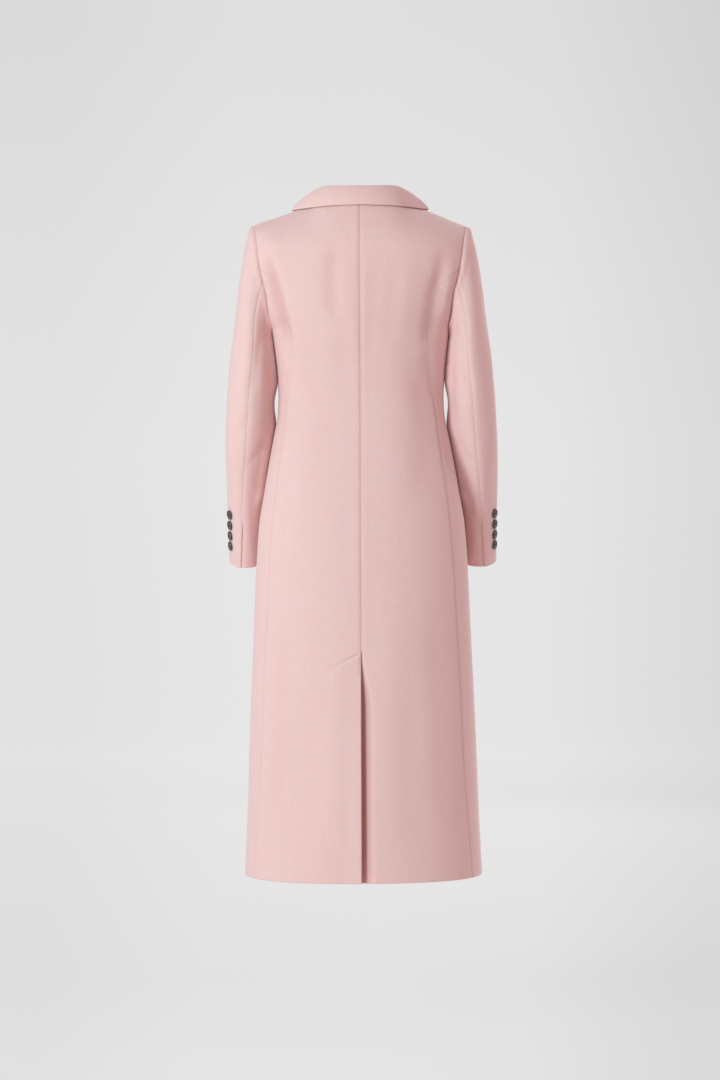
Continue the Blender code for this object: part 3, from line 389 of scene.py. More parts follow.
# On the sleeves: turn 0 faces outwards and 90 backwards, and the width is across the arm.
SLEEVE_CREASES = table(
    "high_turn high_height low_turn low_height width depth",
    (118.0, 0.985, 96.0, 0.880, 0.012, 0.0030),
    (140.0, 0.960, 150.0, 0.820, 0.014, 0.0032),
    (60.0, 1.030, 48.0, 0.900, 0.020, 0.0014),
    (20.0, 1.060, 24.0, 0.930, 0.020, 0.0012),
    (100.0, 0.850, 60.0, 0.790, 0.010, 0.0012),
    (150.0, 0.800, 96.0, 0.745, 0.011, 0.0022),
    (170.0, 0.780, 240.0, 0.735, 0.012, 0.0036),
    (250.0, 0.800, 205.0, 0.760, 0.011, 0.0030),
    (320.0, 0.820, 262.0, 0.775, 0.013, 0.0024),
    (290.0, 0.760, 232.0, 0.715, 0.011, 0.0028),
    (300.0, 1.000, 320.0, 0.860, 0.016, 0.0022),
    (110.0, 0.700, 120.0, 0.590, 0.012, 0.0014),
    (30.0, 0.770, 40.0, 0.640, 0.016, 0.0010),
)


# ---------------------------------------------------------------- small mathematics


def smooth(rows, column, at):
    """A column of a table at any height, by monotone cubics through its rows."""
    x = rows["height"] if "height" in rows else rows["station"]
    y = rows[column]
    step = np.diff(x)
    rise = np.diff(y) / step
    slope = np.zeros_like(y)
    same = rise[:-1] * rise[1:] > 0
    mean = 2 * rise[:-1] * rise[1:] / np.where(same, rise[:-1] + rise[1:], 1.0)
    slope[1:-1] = np.where(same, mean, 0.0)
    slope[0], slope[-1] = rise[0], rise[-1]
    at = np.clip(np.asarray(at, float), x[0], x[-1])
    k = np.clip(np.searchsorted(x, at) - 1, 0, len(x) - 2)
    t = (at - x[k]) / step[k]
    return hermite(y[k], slope[k] * step[k], y[k + 1], slope[k + 1] * step[k], t)


def hermite(start, start_pull, end, end_pull, t):
    """A cubic from start to end, with a pull along the way at each."""
    return (
        start * (2 * t**3 - 3 * t**2 + 1)
        + start_pull * (t**3 - 2 * t**2 + t)
        + end * (3 * t**2 - 2 * t**3)
        + end_pull * (t**3 - t**2)
    )


def ease(low, high, at):
    """0 below low, 1 above high, smooth between; low may be the larger one."""
    t = np.clip((np.asarray(at, float) - low) / (high - low), 0.0, 1.0)
    return t * t * (3 - 2 * t)


def bell(distance, width):
    """1 at distance 0, and softly down to 0 on both sides."""
    return np.exp(-((distance / width) ** 2))


def power(base, exponent):
    """A power that keeps its base's sign."""
    return np.sign(base) * np.abs(base) ** exponent


def unit(vectors):
    """Vectors at length 1."""
    vectors = np.asarray(vectors, float)
    return vectors / np.maximum(np.linalg.norm(vectors, axis=-1, keepdims=True), 1e-12)


def stack(x, y, z):
    """Points from their coordinates."""
    return np.stack(np.broadcast_arrays(x, y, z), axis=-1).astype(float)


def spaced(low, high):
    """Values from low to high, about one cell apart."""
    return np.linspace(low, high, max(2, round(abs(high - low) / CELL)) + 1)


# ---------------------------------------------------------------- the body's form


def armhole(turn):
    """The armhole's edge: turn 0 at the shoulder tip, 90 at the back, 180 below, 270 in front."""
    turn = np.asarray(turn, float) % 360
    angle = np.radians(turn)
    up, across = np.cos(angle), np.abs(np.sin(angle))
    back = turn <= 180
    depth = np.where(back, ARMHOLE_WIDEST["back"][0], -ARMHOLE_WIDEST["front"][0])
    level = np.where(back, ARMHOLE_WIDEST["back"][1], ARMHOLE_WIDEST["front"][1])
    _, tip_y, tip_height = SHOULDER_TIP
    height = np.where(up > 0, level + (tip_height - level) * up, level + (level - UNDERARM) * up)
    y = np.where(up > 0, tip_y + (depth - tip_y) * across, depth * across)
    back_out, front_out = smooth(ARMHOLE_BACK, "out", height), smooth(ARMHOLE_FRONT, "out", height)
    return stack(np.where(back, back_out, front_out), y, height)


def armhole_turn(height, side):
    """The turn of the armhole's edge at a height above its widest level."""
    level = ARMHOLE_WIDEST[side][1]
    turn = math.degrees(math.acos((height - level) / (SHOULDER_TIP[2] - level)))
    return turn if side == "back" else 360 - turn


def armhole_depth(height, side):
    """How far behind or before the middle the armhole's edge is at a height."""
    depth, level = ARMHOLE_WIDEST[side]
    tip = SHOULDER_TIP[1] if side == "back" else -SHOULDER_TIP[1]
    low = np.clip((level - height) / (level - UNDERARM), 0, 1)
    high = np.clip((height - level) / (SHOULDER_TIP[2] - level), 0, 1)
    below = depth * np.sqrt(1 - low**2)
    above = tip + (depth - tip) * np.sqrt(1 - high**2)
    return np.where(height <= level, below, above)


def section(height, side):
    """Half width and depth of the body's section; above the underarm it runs on unseen."""
    depth = smooth(BODY, side + "_depth", height)
    edge = ARMHOLE_BACK if side == "back" else ARMHOLE_FRONT
    over = np.maximum(height, UNDERARM)
    share = armhole_depth(over, side) / depth
    wide = smooth(edge, "out", over) / (1 - share**ROUNDNESS) ** (1 / ROUNDNESS)
    return np.where(height > UNDERARM, wide, smooth(BODY, "half_width", height)), depth


def armhole_angle(height, side):
    """The angle round the body where its section meets the armhole's edge."""
    share = armhole_depth(height, side) / smooth(BODY, side + "_depth", height)
    angle = np.arccos(np.clip(share, 0, 1) ** (ROUNDNESS / 2))
    return angle if side == "back" else np.pi - angle


def angle_at(out, height, side):
    """The angle round the body of a point this far out; negative past the centre."""
    half_width, _ = section(height, side)
    angle = np.arcsin(power(np.clip(out / half_width, -1, 1), ROUNDNESS / 2))
    return angle if side == "back" else np.pi - angle


def body(angle, height):
    """A point of the plain left half of the body's outer face."""
    angle, height = np.broadcast_arrays(np.asarray(angle, float), np.asarray(height, float))
    behind = np.cos(angle) >= 0
    back_width, back_depth = section(height, "back")
    front_width, front_depth = section(height, "front")
    x = np.where(behind, back_width, front_width) * power(np.sin(angle), 2 / ROUNDNESS)
    y = np.where(behind, back_depth, front_depth) * power(np.cos(angle), 2 / ROUNDNESS)
    return stack(x, y, height)


def body_normal(angle, height):
    """The outward normal at a point of the body."""
    step = 1e-4
    round_way = body(angle + step, height) - body(angle - step, height)
    up_way = body(angle, np.minimum(height + step, SECTION_TOP)) - body(angle, height - step)
    return unit(np.cross(up_way, round_way))


def body_inset(angle, height, distance):
    """The angle, moved round the body by a distance."""
    step = 1e-3
    speed = np.linalg.norm(body(angle + step, height) - body(angle - step, height), axis=-1)
    return angle + distance * 2 * step / speed


def neckline(share):
    """The back neck seam, from the centre back (0) to the shoulder seam (1)."""
    angle = share * np.pi / 2
    rise = NECK_HEIGHT - BACK_NECK_HEIGHT
    x = NECK_HALF_WIDTH * np.sin(angle)
    y = BACK_NECK_DEPTH * np.cos(angle)
    return stack(x, y, BACK_NECK_HEIGHT + rise * np.sin(angle) ** 2)


def shoulder_seam(share):
    """From the neck (0) to the tip (1)."""
    start = np.array([NECK_HALF_WIDTH, 0.0, NECK_HEIGHT])
    return start + (np.array(SHOULDER_TIP) - start) * np.asarray(share)[..., None]


def over_shoulder(start, below, end, end_way, pulls, up):
    """Curves from the last section, rising on as it rises there, to a seam's points."""
    rise = (end[..., 2] - SECTION_TOP)[..., None]
    start_pull = (start - below) / CAP_STEP * rise * pulls["start_pull"]
    return hermite(start, start_pull, end, end_way * pulls["end_pull"], up[..., None])


def edge_mend(across, up, side):
    """Brings a cap's outer columns onto the armhole's edge."""
    pulls, lower = (BACK_CAP, SECTION_TOP) if side == "back" else (FRONT_CAP, SECTION_TOP - CAP_STEP)
    start = body(armhole_angle(SECTION_TOP, side), SECTION_TOP)
    below = body(armhole_angle(lower, side), SECTION_TOP - CAP_STEP)
    end_way = np.array(pulls["shoulder_way"])
    plain = over_shoulder(start, below, np.array(SHOULDER_TIP), end_way, pulls, up)
    first = armhole_turn(SECTION_TOP, side)
    turn = first * (1 - up) if side == "back" else first + (360 - first) * up
    return (armhole(turn) - plain) * (across**5)[..., None]


def back_cap(across, up):
    """The upper back, from the last section (up 0) over to the neck and shoulder seams (1)."""
    across, up = np.broadcast_arrays(np.asarray(across, float), np.asarray(up, float))
    edge = armhole_angle(SECTION_TOP, "back")
    start = body(edge * across, SECTION_TOP)
    below = body(edge * across, SECTION_TOP - CAP_STEP)
    neck = neckline(np.clip(across / BACK_NECK_SHARE, 0, 1))
    seam = shoulder_seam(np.clip((across - BACK_NECK_SHARE) / (1 - BACK_NECK_SHARE), 0, 1))
    end = np.where((across < BACK_NECK_SHARE)[..., None], neck, seam)
    toward_shoulder = ease(0.0, BACK_NECK_SHARE, across)[..., None]
    end_way = np.array(BACK_CAP["neck_way"]) * (1 - toward_shoulder)
    end_way = end_way + np.array(BACK_CAP["shoulder_way"]) * toward_shoulder
    point = over_shoulder(start, below, end, end_way, BACK_CAP, up)
    return point + edge_mend(across, up, "back")


def front_edge(height):
    """How far out the front's free edge is: past the centre, then along the roll line."""
    run = (NECK_HALF_WIDTH + FRONT_EXTENSION) / (NECK_HEIGHT - BREAK_HEIGHT)
    return -FRONT_EXTENSION + run * np.maximum(np.asarray(height, float) - BREAK_HEIGHT, 0)


def front_angle(across, height):
    """across 0 at the free edge, 1 at the armhole's edge."""
    edge = angle_at(front_edge(height), height, "front")
    return edge + (armhole_angle(height, "front") - edge) * across


def front_cap(across, up):
    """The upper front, from the last section (up 0) to the shoulder seam (1)."""
    across, up = np.broadcast_arrays(np.asarray(across, float), np.asarray(up, float))
    start = body(front_angle(across, SECTION_TOP), SECTION_TOP)
    lower = SECTION_TOP - CAP_STEP
    below = body(front_angle(across, lower), lower)
    end_way = np.array(FRONT_CAP["shoulder_way"])
    point = over_shoulder(start, below, shoulder_seam(across), end_way, FRONT_CAP, up)
    return point + edge_mend(across, up, "front")


def cap_normal(cap, across, up):
    """Outward normals of a cap; along the shoulder seam both caps share one direction."""
    step = 1e-3
    low, high = np.clip(up - step, 0, 1), np.clip(up + step, 0, 1)
    left, right = np.clip(across - step, 0, 1), np.clip(across + step, 0, 1)
    up_way = cap(across, high) - cap(across, low)
    round_way = cap(right, up) - cap(left, up)
    normal = unit(np.cross(up_way, round_way))
    return -normal if cap is front_cap else normal


# ---------------------------------------------------------------- panels as grids of points


def vent_dip(x, height):
    """How far the right back sinks beside the vent; x is out from the centre on its own side."""
    deep = VENT_DIP_TOP + (VENT_DIP - VENT_DIP_TOP) * ease(VENT_TOP, VENT_DIP_HEIGHT, height)
    opening = ease(VENT_TOP + 0.002, VENT_TOP - 0.003, height)
    wide = ease(VENT_TOP, VENT_DIP_WIDE_HEIGHT, height)
    width = VENT_DIP_WIDTH * (VENT_DIP_NARROW + (1 - VENT_DIP_NARROW) * wide)
    return deep * opening * (1 - ease(0.0, 1.0, x / width))


def shares(width):
    """Columns from 0 to 1 over a width, closer together beside both seams."""
    even = np.linspace(0, 1, round(width / CELL) + 1)
    return (even - SEAM_CROWDING * np.sin(math.tau * even) / math.tau)[None, :]


def back_heights():
    """Level rows of the back, closer together where the vent begins."""
    low, high = VENT_TOP - 0.042, VENT_TOP + 0.012
    fine = [np.linspace(low, VENT_TOP, 31)[1:], np.linspace(VENT_TOP, high, 10)[1:]]
    return np.concatenate([spaced(0, low), *fine, spaced(high, SECTION_TOP)[1:]])[:, None]


def cap_rows():
    """Shares of the way up a cap, above its first row."""
    return spaced(0, CAP_RISE)[1:, None] / CAP_RISE


def evened(grid, share):
    """The grid's inner columns, moved by a share towards the middle of their neighbours."""
    middle = (grid[:, :-2] + grid[:, 2:]) / 2
    return grid[:, 1:-1] + share * (middle - grid[:, 1:-1])


def back_grid(side):
    """Outer points and normals of one back half; side is 1 on the wearer's left."""
    heights = back_heights()
    across = shares(BACK_SPAN)
    seam = angle_at(smooth(SIDE_BACK_SEAM, "out", heights), heights, "back")
    on_armhole = armhole_angle(np.maximum(heights, UNDERARM), "back")
    seam = np.where(heights > BACK_SEAM_TOP, on_armhole, seam)
    first = angle_at(np.full_like(heights, SEAM_INSET), heights, "back")
    last = body_inset(seam, heights, -SEAM_INSET)
    angle = first + (last - first) * across
    heights = np.broadcast_to(heights, angle.shape)
    points, normals = body(angle, heights), body_normal(angle, heights)
    up = cap_rows()
    cap, cap_out = back_cap(across, up), cap_normal(back_cap, across, up)
    near_neck = bell(across - BACK_NECK_SHARE, BACK_EVEN_WIDTH) * ease(0.1, 0.4, up) * (up < 1)
    share = near_neck[:, 1:-1, None]
    for _ in range(BACK_EVEN_TIMES):
        cap[:, 1:-1] = evened(cap, 0.5 * share)
        cap_out[:, 1:-1] = unit(evened(cap_out, share))
    cap[..., 0] += SEAM_INSET * (1 - across)
    cap[-1, :, 1] += SEAM_INSET * (across[0] >= BACK_NECK_SHARE)
    cap_out[-1][across[0] >= BACK_NECK_SHARE] = SHOULDER_NORMAL
    points, normals = np.concatenate([points, cap]), np.concatenate([normals, cap_out])
    if side < 0:
        points, normals = with_underlap(points, normals)
    return points, normals


def with_underlap(points, normals):
    """More columns past the centre back; above the vent they shrink to nothing."""
    share = np.linspace(1, 0, round(VENT_UNDERLAP / CELL) + 1)[None, :-1]
    tall = points[:, :1, 2]
    reach = np.clip((VENT_TOP - tall) / (VENT_SLOPE * VENT_UNDERLAP), 0, 1)
    past = -VENT_UNDERLAP * share * reach
    level = np.minimum(np.broadcast_to(tall, past.shape), SECTION_TOP)
    angle = angle_at(past, level, "back")
    open_here = (reach > 0)[..., None]
    extra = np.where(open_here, body(angle, level), points[:, :1])
    extra_out = np.where(open_here, body_normal(angle, level), normals[:, :1])
    return np.concatenate([extra, points], axis=1), np.concatenate([extra_out, normals], axis=1)


def front_grid():
    """Outer points and normals of one front."""
    heights = spaced(0, SECTION_TOP)[:, None]
    across = shares(FRONT_SPAN)
    seam = angle_at(smooth(SIDE_FRONT_SEAM, "out", heights), heights, "front")
    on_armhole = armhole_angle(np.maximum(heights, UNDERARM), "front")
    seam = np.where(heights > FRONT_SEAM_TOP, on_armhole, seam)
    first = angle_at(front_edge(heights), heights, "front")
    last = body_inset(seam, heights, SEAM_INSET)
    angle = first + (last - first) * across
    heights = np.broadcast_to(heights, angle.shape)
    points, normals = body(angle, heights), body_normal(angle, heights)
    up = cap_rows()
    cap, cap_out = front_cap(across, up), cap_normal(front_cap, across, up)
    cap[-1, :, 1] -= SEAM_INSET
    cap_out[-1] = SHOULDER_NORMAL
    return np.concatenate([points, cap]), np.concatenate([normals, cap_out])


def raised(points, normals):
    """The right front's points, proud of the left front's where it laps over."""
    x, height = points[..., 0], points[..., 2]
    lift = FRONT_RAISE * (1 - ease(*RAISE_FADES_OUT, x)) * (1 - ease(*RAISE_FADES_UP, height))
    return points + normals * lift[..., None]


def side_grid():
    """Outer points and normals of a side panel, whose top edge is the armhole's lower part."""
    share = shares(SIDE_SPAN)
    heights = spaced(0, LEVEL_TOP)[:, None]
    back = side_seam_angle(heights, "back")
    front = side_seam_angle(heights, "front")
    lower_angle = back + (front - back) * share
    lower_height = np.broadcast_to(heights, lower_angle.shape)
    angle, height = side_top(share, lower_angle[-1])
    angle = np.concatenate([lower_angle, angle])
    height = np.concatenate([lower_height, height])
    return body(angle, height), body_normal(angle, height)


def side_seam_angle(heights, side):
    """The angle round the body of a side panel's back or front seam."""
    seam = SIDE_BACK_SEAM if side == "back" else SIDE_FRONT_SEAM
    angle = angle_at(smooth(seam, "out", heights), heights, side)
    return body_inset(angle, heights, SEAM_INSET if side == "back" else -SEAM_INSET)


def side_top(share, first_row):
    """Angles and heights of the rows between the last level one and the armhole."""
    up = np.linspace(0, 1, round(SIDE_TOP_RISE / CELL) + 1)[1:, None]
    back_heights = LEVEL_TOP + (BACK_SEAM_TOP - LEVEL_TOP) * up
    front_heights = LEVEL_TOP + (FRONT_SEAM_TOP - LEVEL_TOP) * up
    back_end = armhole_turn(BACK_SEAM_TOP, "back")
    front_end = armhole_turn(FRONT_SEAM_TOP, "front")
    edge = armhole(back_end + (front_end - back_end) * share)
    edge_height = edge[..., 2]
    behind = edge[..., 1] >= 0
    back_angle, front_angles = armhole_angle(edge_height, "back"), armhole_angle(edge_height, "front")
    edge_angle = np.where(behind, back_angle, front_angles)
    left = (side_seam_angle(back_heights, "back"), back_heights)
    right = (side_seam_angle(front_heights, "front"), front_heights)
    sides = (first_row[None, :], edge_angle), (np.full_like(share, LEVEL_TOP), edge_height)
    rows = []
    for (bottom, top), start, end in zip(sides, left, right):
        corners = (1 - share) * bottom[:, :1] + share * bottom[:, -1:]
        ends = (1 - share) * top[:, :1] + share * top[:, -1:]
        patch = (1 - share) * start + share * end
        patch = patch + (1 - up) * bottom + up * top - (1 - up) * corners - up * ends
        rows.append(patch)
    return rows


# ---------------------------------------------------------------- sleeves


def ring(turn, height):
    """A point of the sleeve below its cap; turn 0 faces outwards and 90 backwards."""
    angle = np.radians(turn)
    y = smooth(SLEEVE, "half_depth", height) * np.sin(angle)
    x = smooth(SLEEVE, "half_width", height) * np.cos(angle)
    drop = smooth(SLEEVE, "tilt", height) * y
    return stack(
        smooth(SLEEVE, "centre_x", height) + x,
        smooth(SLEEVE, "centre_y", height) + y,
        height - drop,
    )


def sleeve_cap(turn, down):
    """From the armhole's edge (down 0) to the first ring (1)."""
    turn, down = np.broadcast_arrays(np.asarray(turn, float), np.asarray(down, float))
    angle = np.radians(turn)
    start = armhole(turn) + np.array([SLEEVE_START, 0, 0])
    end = ring(turn, SLEEVE_TOP_RING)
    low = ring(turn, SLEEVE_TOP_RING - CAP_STEP)
    length = (start[..., 2] - SLEEVE_TOP_RING)[..., None]
    top = ((1 + np.cos(angle)) / 2)[..., None]
    side = (np.sin(angle) ** 2)[..., None] * np.sign(np.sin(angle))[..., None]
    start_pull = top**1.5 * np.array(CAP_PULLS["top"])
    start_pull = start_pull + (1 - top) * np.array(CAP_PULLS["bottom"])
    start_pull = start_pull + np.abs(side) * np.array(CAP_PULLS["sides"])
    start_pull = start_pull + side * np.array(CAP_PULLS["backwards"])
    end_pull = (low - end) / CAP_STEP * length
    return hermite(start, start_pull, end, end_pull, down[..., None])


def sleeve_point(turn, row):
    """row 0 to 1 is the cap, and above 1 the height falls from the first ring to the cuff."""
    turn, row = np.broadcast_arrays(np.asarray(turn, float), np.asarray(row, float))
    height = row_height(row)
    cap = sleeve_cap(turn, np.clip(row, 0, 1))
    return np.where((row <= 1)[..., None], cap, ring(turn, np.minimum(height, SLEEVE_TOP_RING)))


def row_height(row):
    """The height of a row below the cap."""
    return SLEEVE_TOP_RING - (row - 1) * (SLEEVE_TOP_RING - SLEEVE["height"][0])


def sleeve_normal(turn, row):
    """The outward normal at a point of the sleeve."""
    step = 2e-3
    lower, upper = np.minimum(row + step, 2), np.maximum(row - step, 0)
    along = sleeve_point(turn, lower) - sleeve_point(turn, upper)
    around = sleeve_point(turn + 0.5, row) - sleeve_point(turn - 0.5, row)
    return unit(np.cross(along, around))


def sleeve_seams(row):
    """The turns of the back and front seams at each row."""
    height = row_height(np.maximum(row, 1))
    capped = np.clip(row, 0, 1)
    first = SLEEVE_BACK_SEAM["turn"][-1]
    back = SLEEVE_BACK_SEAM_START + (first - SLEEVE_BACK_SEAM_START) * capped
    back = np.where(row > 1, smooth(SLEEVE_BACK_SEAM, "turn", height), back)
    front = SLEEVE_FRONT_SEAM_START + (SLEEVE_FRONT_SEAM - SLEEVE_FRONT_SEAM_START) * capped
    return back, front


def sleeve_grid(part):
    """Outer points, normals and turns of the top or the under sleeve of the left arm."""
    cap = np.linspace(0, 1, round(SLEEVE_CAP_FALL / CELL) + 1)
    below = np.linspace(1, 2, round(SLEEVE_FALL / CELL) + 1)[1:]
    row = np.concatenate([cap, below])[:, None]
    back, front = sleeve_seams(row)
    first, last = (front - 360, back) if part == "top" else (back, front)
    inset = math.degrees(SEAM_INSET / SEAM_RADIUS)
    share = shares(SLEEVE_SPAN[part])
    turn = (first + inset) + (last - first - 2 * inset) * share
    return sleeve_point(turn, row), sleeve_normal(turn, row), turn


# ---------------------------------------------------------------- relief: folds, seams, hems


def fold_share(folds, k, height):
    """How far up a fold a height is, and how much of the fold's depth is left there."""
    high, low = folds["high_height"][k], folds["low_height"][k]
    share = np.clip((height - low) / (high - low), -0.5, 1.5)
    end = np.maximum(np.abs(share - 0.5) - (0.5 - FOLD_END), 0) / FOLD_END
    return share, np.exp(-(end**2) * FOLD_FADE)


def fold_depth(folds, x, height):
    """How deep the troughs are; x is positive on the wearer's left."""
    total = np.zeros(np.broadcast(x, height).shape)
    for k in range(len(folds["depth"])):
        share, fade = fold_share(folds, k, height)
        line = folds["low_x"][k] + (folds["high_x"][k] - folds["low_x"][k]) * share
        total += folds["depth"][k] * bell(x - line, folds["width"][k]) * fade
    return total


def sleeve_crease_depth(turn, height):
    """The same on a sleeve; turns count as lengths around the arm."""
    total = np.zeros(np.broadcast(turn, height).shape)
    for k in range(len(SLEEVE_CREASES["depth"])):
        high, low = SLEEVE_CREASES["high_height"][k], SLEEVE_CREASES["low_height"][k]
        first, last = SLEEVE_CREASES["high_turn"][k], SLEEVE_CREASES["low_turn"][k]
        share, fade = fold_share(SLEEVE_CREASES, k, height)
        line = last + (first - last) * share
        away = (turn - line + 180) % 360 - 180
        slant = math.radians(abs(first - last)) * ARM_RADIUS / (high - low)
        across = np.radians(away) * ARM_RADIUS / math.sqrt(1 + slant**2)
        total += SLEEVE_CREASES["depth"][k] * bell(across, SLEEVE_CREASES["width"][k]) * fade
    return total


def from_edges(points):
    """Each point's distance along the cloth from the grid's first and last column and row."""
    across = np.linalg.norm(np.diff(points, axis=1), axis=-1)
    along = np.linalg.norm(np.diff(points, axis=0), axis=-1)
    left = np.concatenate([np.zeros((len(points), 1)), np.cumsum(across, axis=1)], axis=1)
    low = np.concatenate([np.zeros((1, points.shape[1])), np.cumsum(along, axis=0)])
    return {"left": left, "right": left[:, -1:] - left, "low": low, "high": low[-1:] - low}


def seam_relief(distance, here=1.0):
    """What a seam takes off the outer face at a distance from it."""
    swell = SWELL * bell(distance - SWELL_PLACE, SWELL_WIDTH)
    return here * (DITCH * bell(distance, DITCH_WIDTH) - swell)


def seam_painted_shade(distance, here=1.0):
    """How far painted shade deepens the wool's colour at a distance from a seam, standing in for the
    shade and the light bounced in its fold.
    """
    return here * bell(distance, PAINTED_SHADE_WIDTH)


def fold_painted_shade(x, height):
    """The same painted shade in the hollows between the back's folds, where their shade falls."""
    hollow = BACK_CREASES["depth"] > 0
    hollows = {name: values[hollow] for name, values in BACK_CREASES.items()}
    return FOLD_PAINTED_SHADE * fold_depth(hollows, x, height)


def princess_share(side, height):
    """How far a side-back seam sinks: it shows most on the wearer's right, below the waist."""
    below_end = 1 - ease(BACK_SEAM_TOP - PRINCESS_TOP_FADE, BACK_SEAM_TOP, height)
    above = ease(*PRINCESS_FADES, height) * below_end
    return (PRINCESS_LEFT if side > 0 else 1.0) * (1 - PRINCESS_LOST * above)


def inner_step(distances, seams, hem=None):
    """How much the wall grows inwards over seam allowances and the turned-up hem."""
    total = np.zeros_like(distances["left"])
    for edge in seams:
        allowance = ease(ALLOWANCE + ALLOWANCE_FADE, ALLOWANCE, distances[edge])
        total = np.maximum(total, ALLOWANCE_STEP * allowance)
    if hem:
        turned_up = ease(HEM_DEPTH + HEM_FADE, HEM_DEPTH, distances[hem])
        total = np.maximum(total, HEM_STEP * turned_up)
    return total


def waver(points, size, depth, seed):
    """The slight unevenness of cloth: a few slow waves of different directions, summed."""
    rng = np.random.default_rng(seed)
    total = np.zeros(points.shape[:-1])
    for _ in range(WAVES):
        way = rng.normal(size=3) * np.array([1, 1, 0.35])
        total += np.sin(points @ way * (math.tau / size) + rng.uniform(0, math.tau))
    return total * depth / WAVES


# ---------------------------------------------------------------- making shells


RIM_STEPS = (30.0, 60.0, 90.0, 120.0, 150.0)  # degrees round a free edge


def to_world(points, side=1):
    """Heights above the hem to world heights, mirrored to the wearer's right if asked."""
    moved = np.array(points, float)
    moved[..., 0] *= side
    raised_here = ease(*SHOULDER_RISE_OUT, moved[..., 0]) * ease(*SHOULDER_RISE_UP, moved[..., 2])
    moved[..., 2] += SHOULDER_RISE * raised_here
    moved[..., 2] -= NECK_HEIGHT
    return moved


def rim_of(rows, columns):
    """The grid's edge points in order, each with its neighbour further in, and its edge's name."""
    low = [((0, j), (1, j), "low") for j in range(columns - 1)]
    right = [((i, columns - 1), (i, columns - 2), "right") for i in range(rows - 1)]
    high = [((rows - 1, j), (rows - 2, j), "high") for j in range(columns - 1, 0, -1)]
    left = [((i, 0), (i, 1), "left") for i in range(rows - 1, 0, -1)]
    return low + right + high + left


def grid_faces(rows, columns):
    """The corners of each cell in a grid of points."""
    corner = np.arange(rows * columns).reshape(rows, columns)
    quads = [corner[:-1, :-1], corner[:-1, 1:], corner[1:, 1:], corner[1:, :-1]]
    return np.stack(quads, axis=-1).reshape(-1, 4)


def shell(name, outer, normals, thickness, free, side=1, painted_shade=0.0):
    """A closed shell on a grid. free gives, for each edge name, how round and free the edge is:
    0 is a flat sewn edge, 1 a rounded free one; it may differ from point to point, and so may
    the share of painted shade, the deeper colour that stands in for shade in seams and folds."""
    rows, columns = outer.shape[:2]
    outer = outer.copy()
    thickness = np.broadcast_to(thickness, outer.shape[:2])
    rim = rim_of(rows, columns)
    here = np.array([k[0] for k in rim])
    within = np.array([k[1] for k in rim])
    flat_here, flat_within = here @ (columns, 1), within @ (columns, 1)
    flat = outer.reshape(-1, 3)
    out = normals.reshape(-1, 3)[flat_here]
    way = flat[flat_here] - flat[flat_within]
    way = unit(way - out * (way * out).sum(axis=1, keepdims=True))
    corners = ((0, 0), (0, columns - 1), (rows - 1, 0), (rows - 1, columns - 1))
    corner = np.array([k[0] in corners for k in rim])
    way[corner] = unit(way[corner] + np.roll(way, 1, axis=0)[corner])
    weight = np.array([float(np.broadcast_to(free[k[2]], (rows, columns))[k[0]]) for k in rim])
    both = np.maximum(weight, np.roll(weight, 1))
    weight = np.where(corner, both, weight)[:, None]
    half = thickness.reshape(-1)[flat_here][:, None] / 2
    flat[flat_here] -= way * half * weight
    inner = outer - normals * thickness[..., None]
    middle = flat[flat_here] - out * half
    rings = [flat_here]
    extra = []
    count = rows * columns * 2
    for degrees in RIM_STEPS:
        turn = math.radians(degrees)
        bulge = way * half * math.sin(turn) * weight
        extra.append(middle + out * half * math.cos(turn) + bulge)
        rings.append(np.arange(count, count + len(rim)))
        count += len(rim)
    rings.append(flat_here + rows * columns)
    face = grid_faces(rows, columns)
    faces = [face, face[:, ::-1] + rows * columns]
    for first, second in zip(rings, rings[1:]):
        faces.append(np.stack([np.roll(first, -1), first, second, np.roll(second, -1)], axis=1))
    points = np.concatenate([flat, inner.reshape(-1, 3), *extra])
    painted_shade = np.broadcast_to(painted_shade, (rows, columns)).reshape(-1)
    painted_shades = np.concatenate([painted_shade, painted_shade, np.tile(painted_shade[flat_here], len(RIM_STEPS))])
    return add_mesh(name, to_world(points, side), np.concatenate(faces), painted_shades)


def placed(name, data):
    """A new object in the scene."""
    made = bpy.data.objects.new(name, data)
    bpy.context.scene.collection.objects.link(made)
    return made


def mesh_of(shape, name):
    """A mesh from a finished bmesh."""
    mesh = bpy.data.meshes.new(name)
    shape.to_mesh(mesh)
    shape.free()
    return mesh


def add_mesh(name, points, faces, painted_shades):
    """A shaded mesh of cloth, with its share of painted shade colour at each point."""
    mesh = bpy.data.meshes.new(name)
    mesh.from_pydata(points.tolist(), [], faces.tolist())
    mesh.attributes.new("painted_shade", "FLOAT", "POINT").data.foreach_set("value", painted_shades)
    shape = bmesh.new()
    shape.from_mesh(mesh)
    bmesh.ops.remove_doubles(shape, verts=shape.verts[:], dist=MERGE_DISTANCE)
    bmesh.ops.dissolve_degenerate(shape, edges=shape.edges[:], dist=MERGE_DISTANCE)
    bmesh.ops.recalc_face_normals(shape, faces=shape.faces[:])
    shape.to_mesh(mesh)
    shape.free()
    mesh.shade_smooth()
    mesh.set_sharp_from_angle(angle=SHARP_ANGLE)
    return placed(name, mesh)


def cloth_piece(node, outer, normals, thickness, free, side=1, painted_shade=0.0):
    """A wool cloth shell in place of its node's solid, which it hides, attached to the root."""
    made = shell(f"{node}_cloth", outer, normals, thickness, free, side, painted_shade)
    made.data.materials.append(wool())
    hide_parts(node)
    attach(made, "root")


# ---------------------------------------------------------------- materials


def set_inputs(node, **values):
    """Sets a shader node's inputs by their names, with _ for each space."""
    for key, value in values.items():
        node.inputs[key.replace("_", " ")].default_value = value


def node_of(tree, kind, at, **values):
    """A new node, with its settings and inputs by name."""
    made = tree.nodes.new(kind)
    made.location = at
    for key, value in values.items():
        if hasattr(made, key):
            setattr(made, key, value)
        else:
            set_inputs(made, **{key: value})
    return made


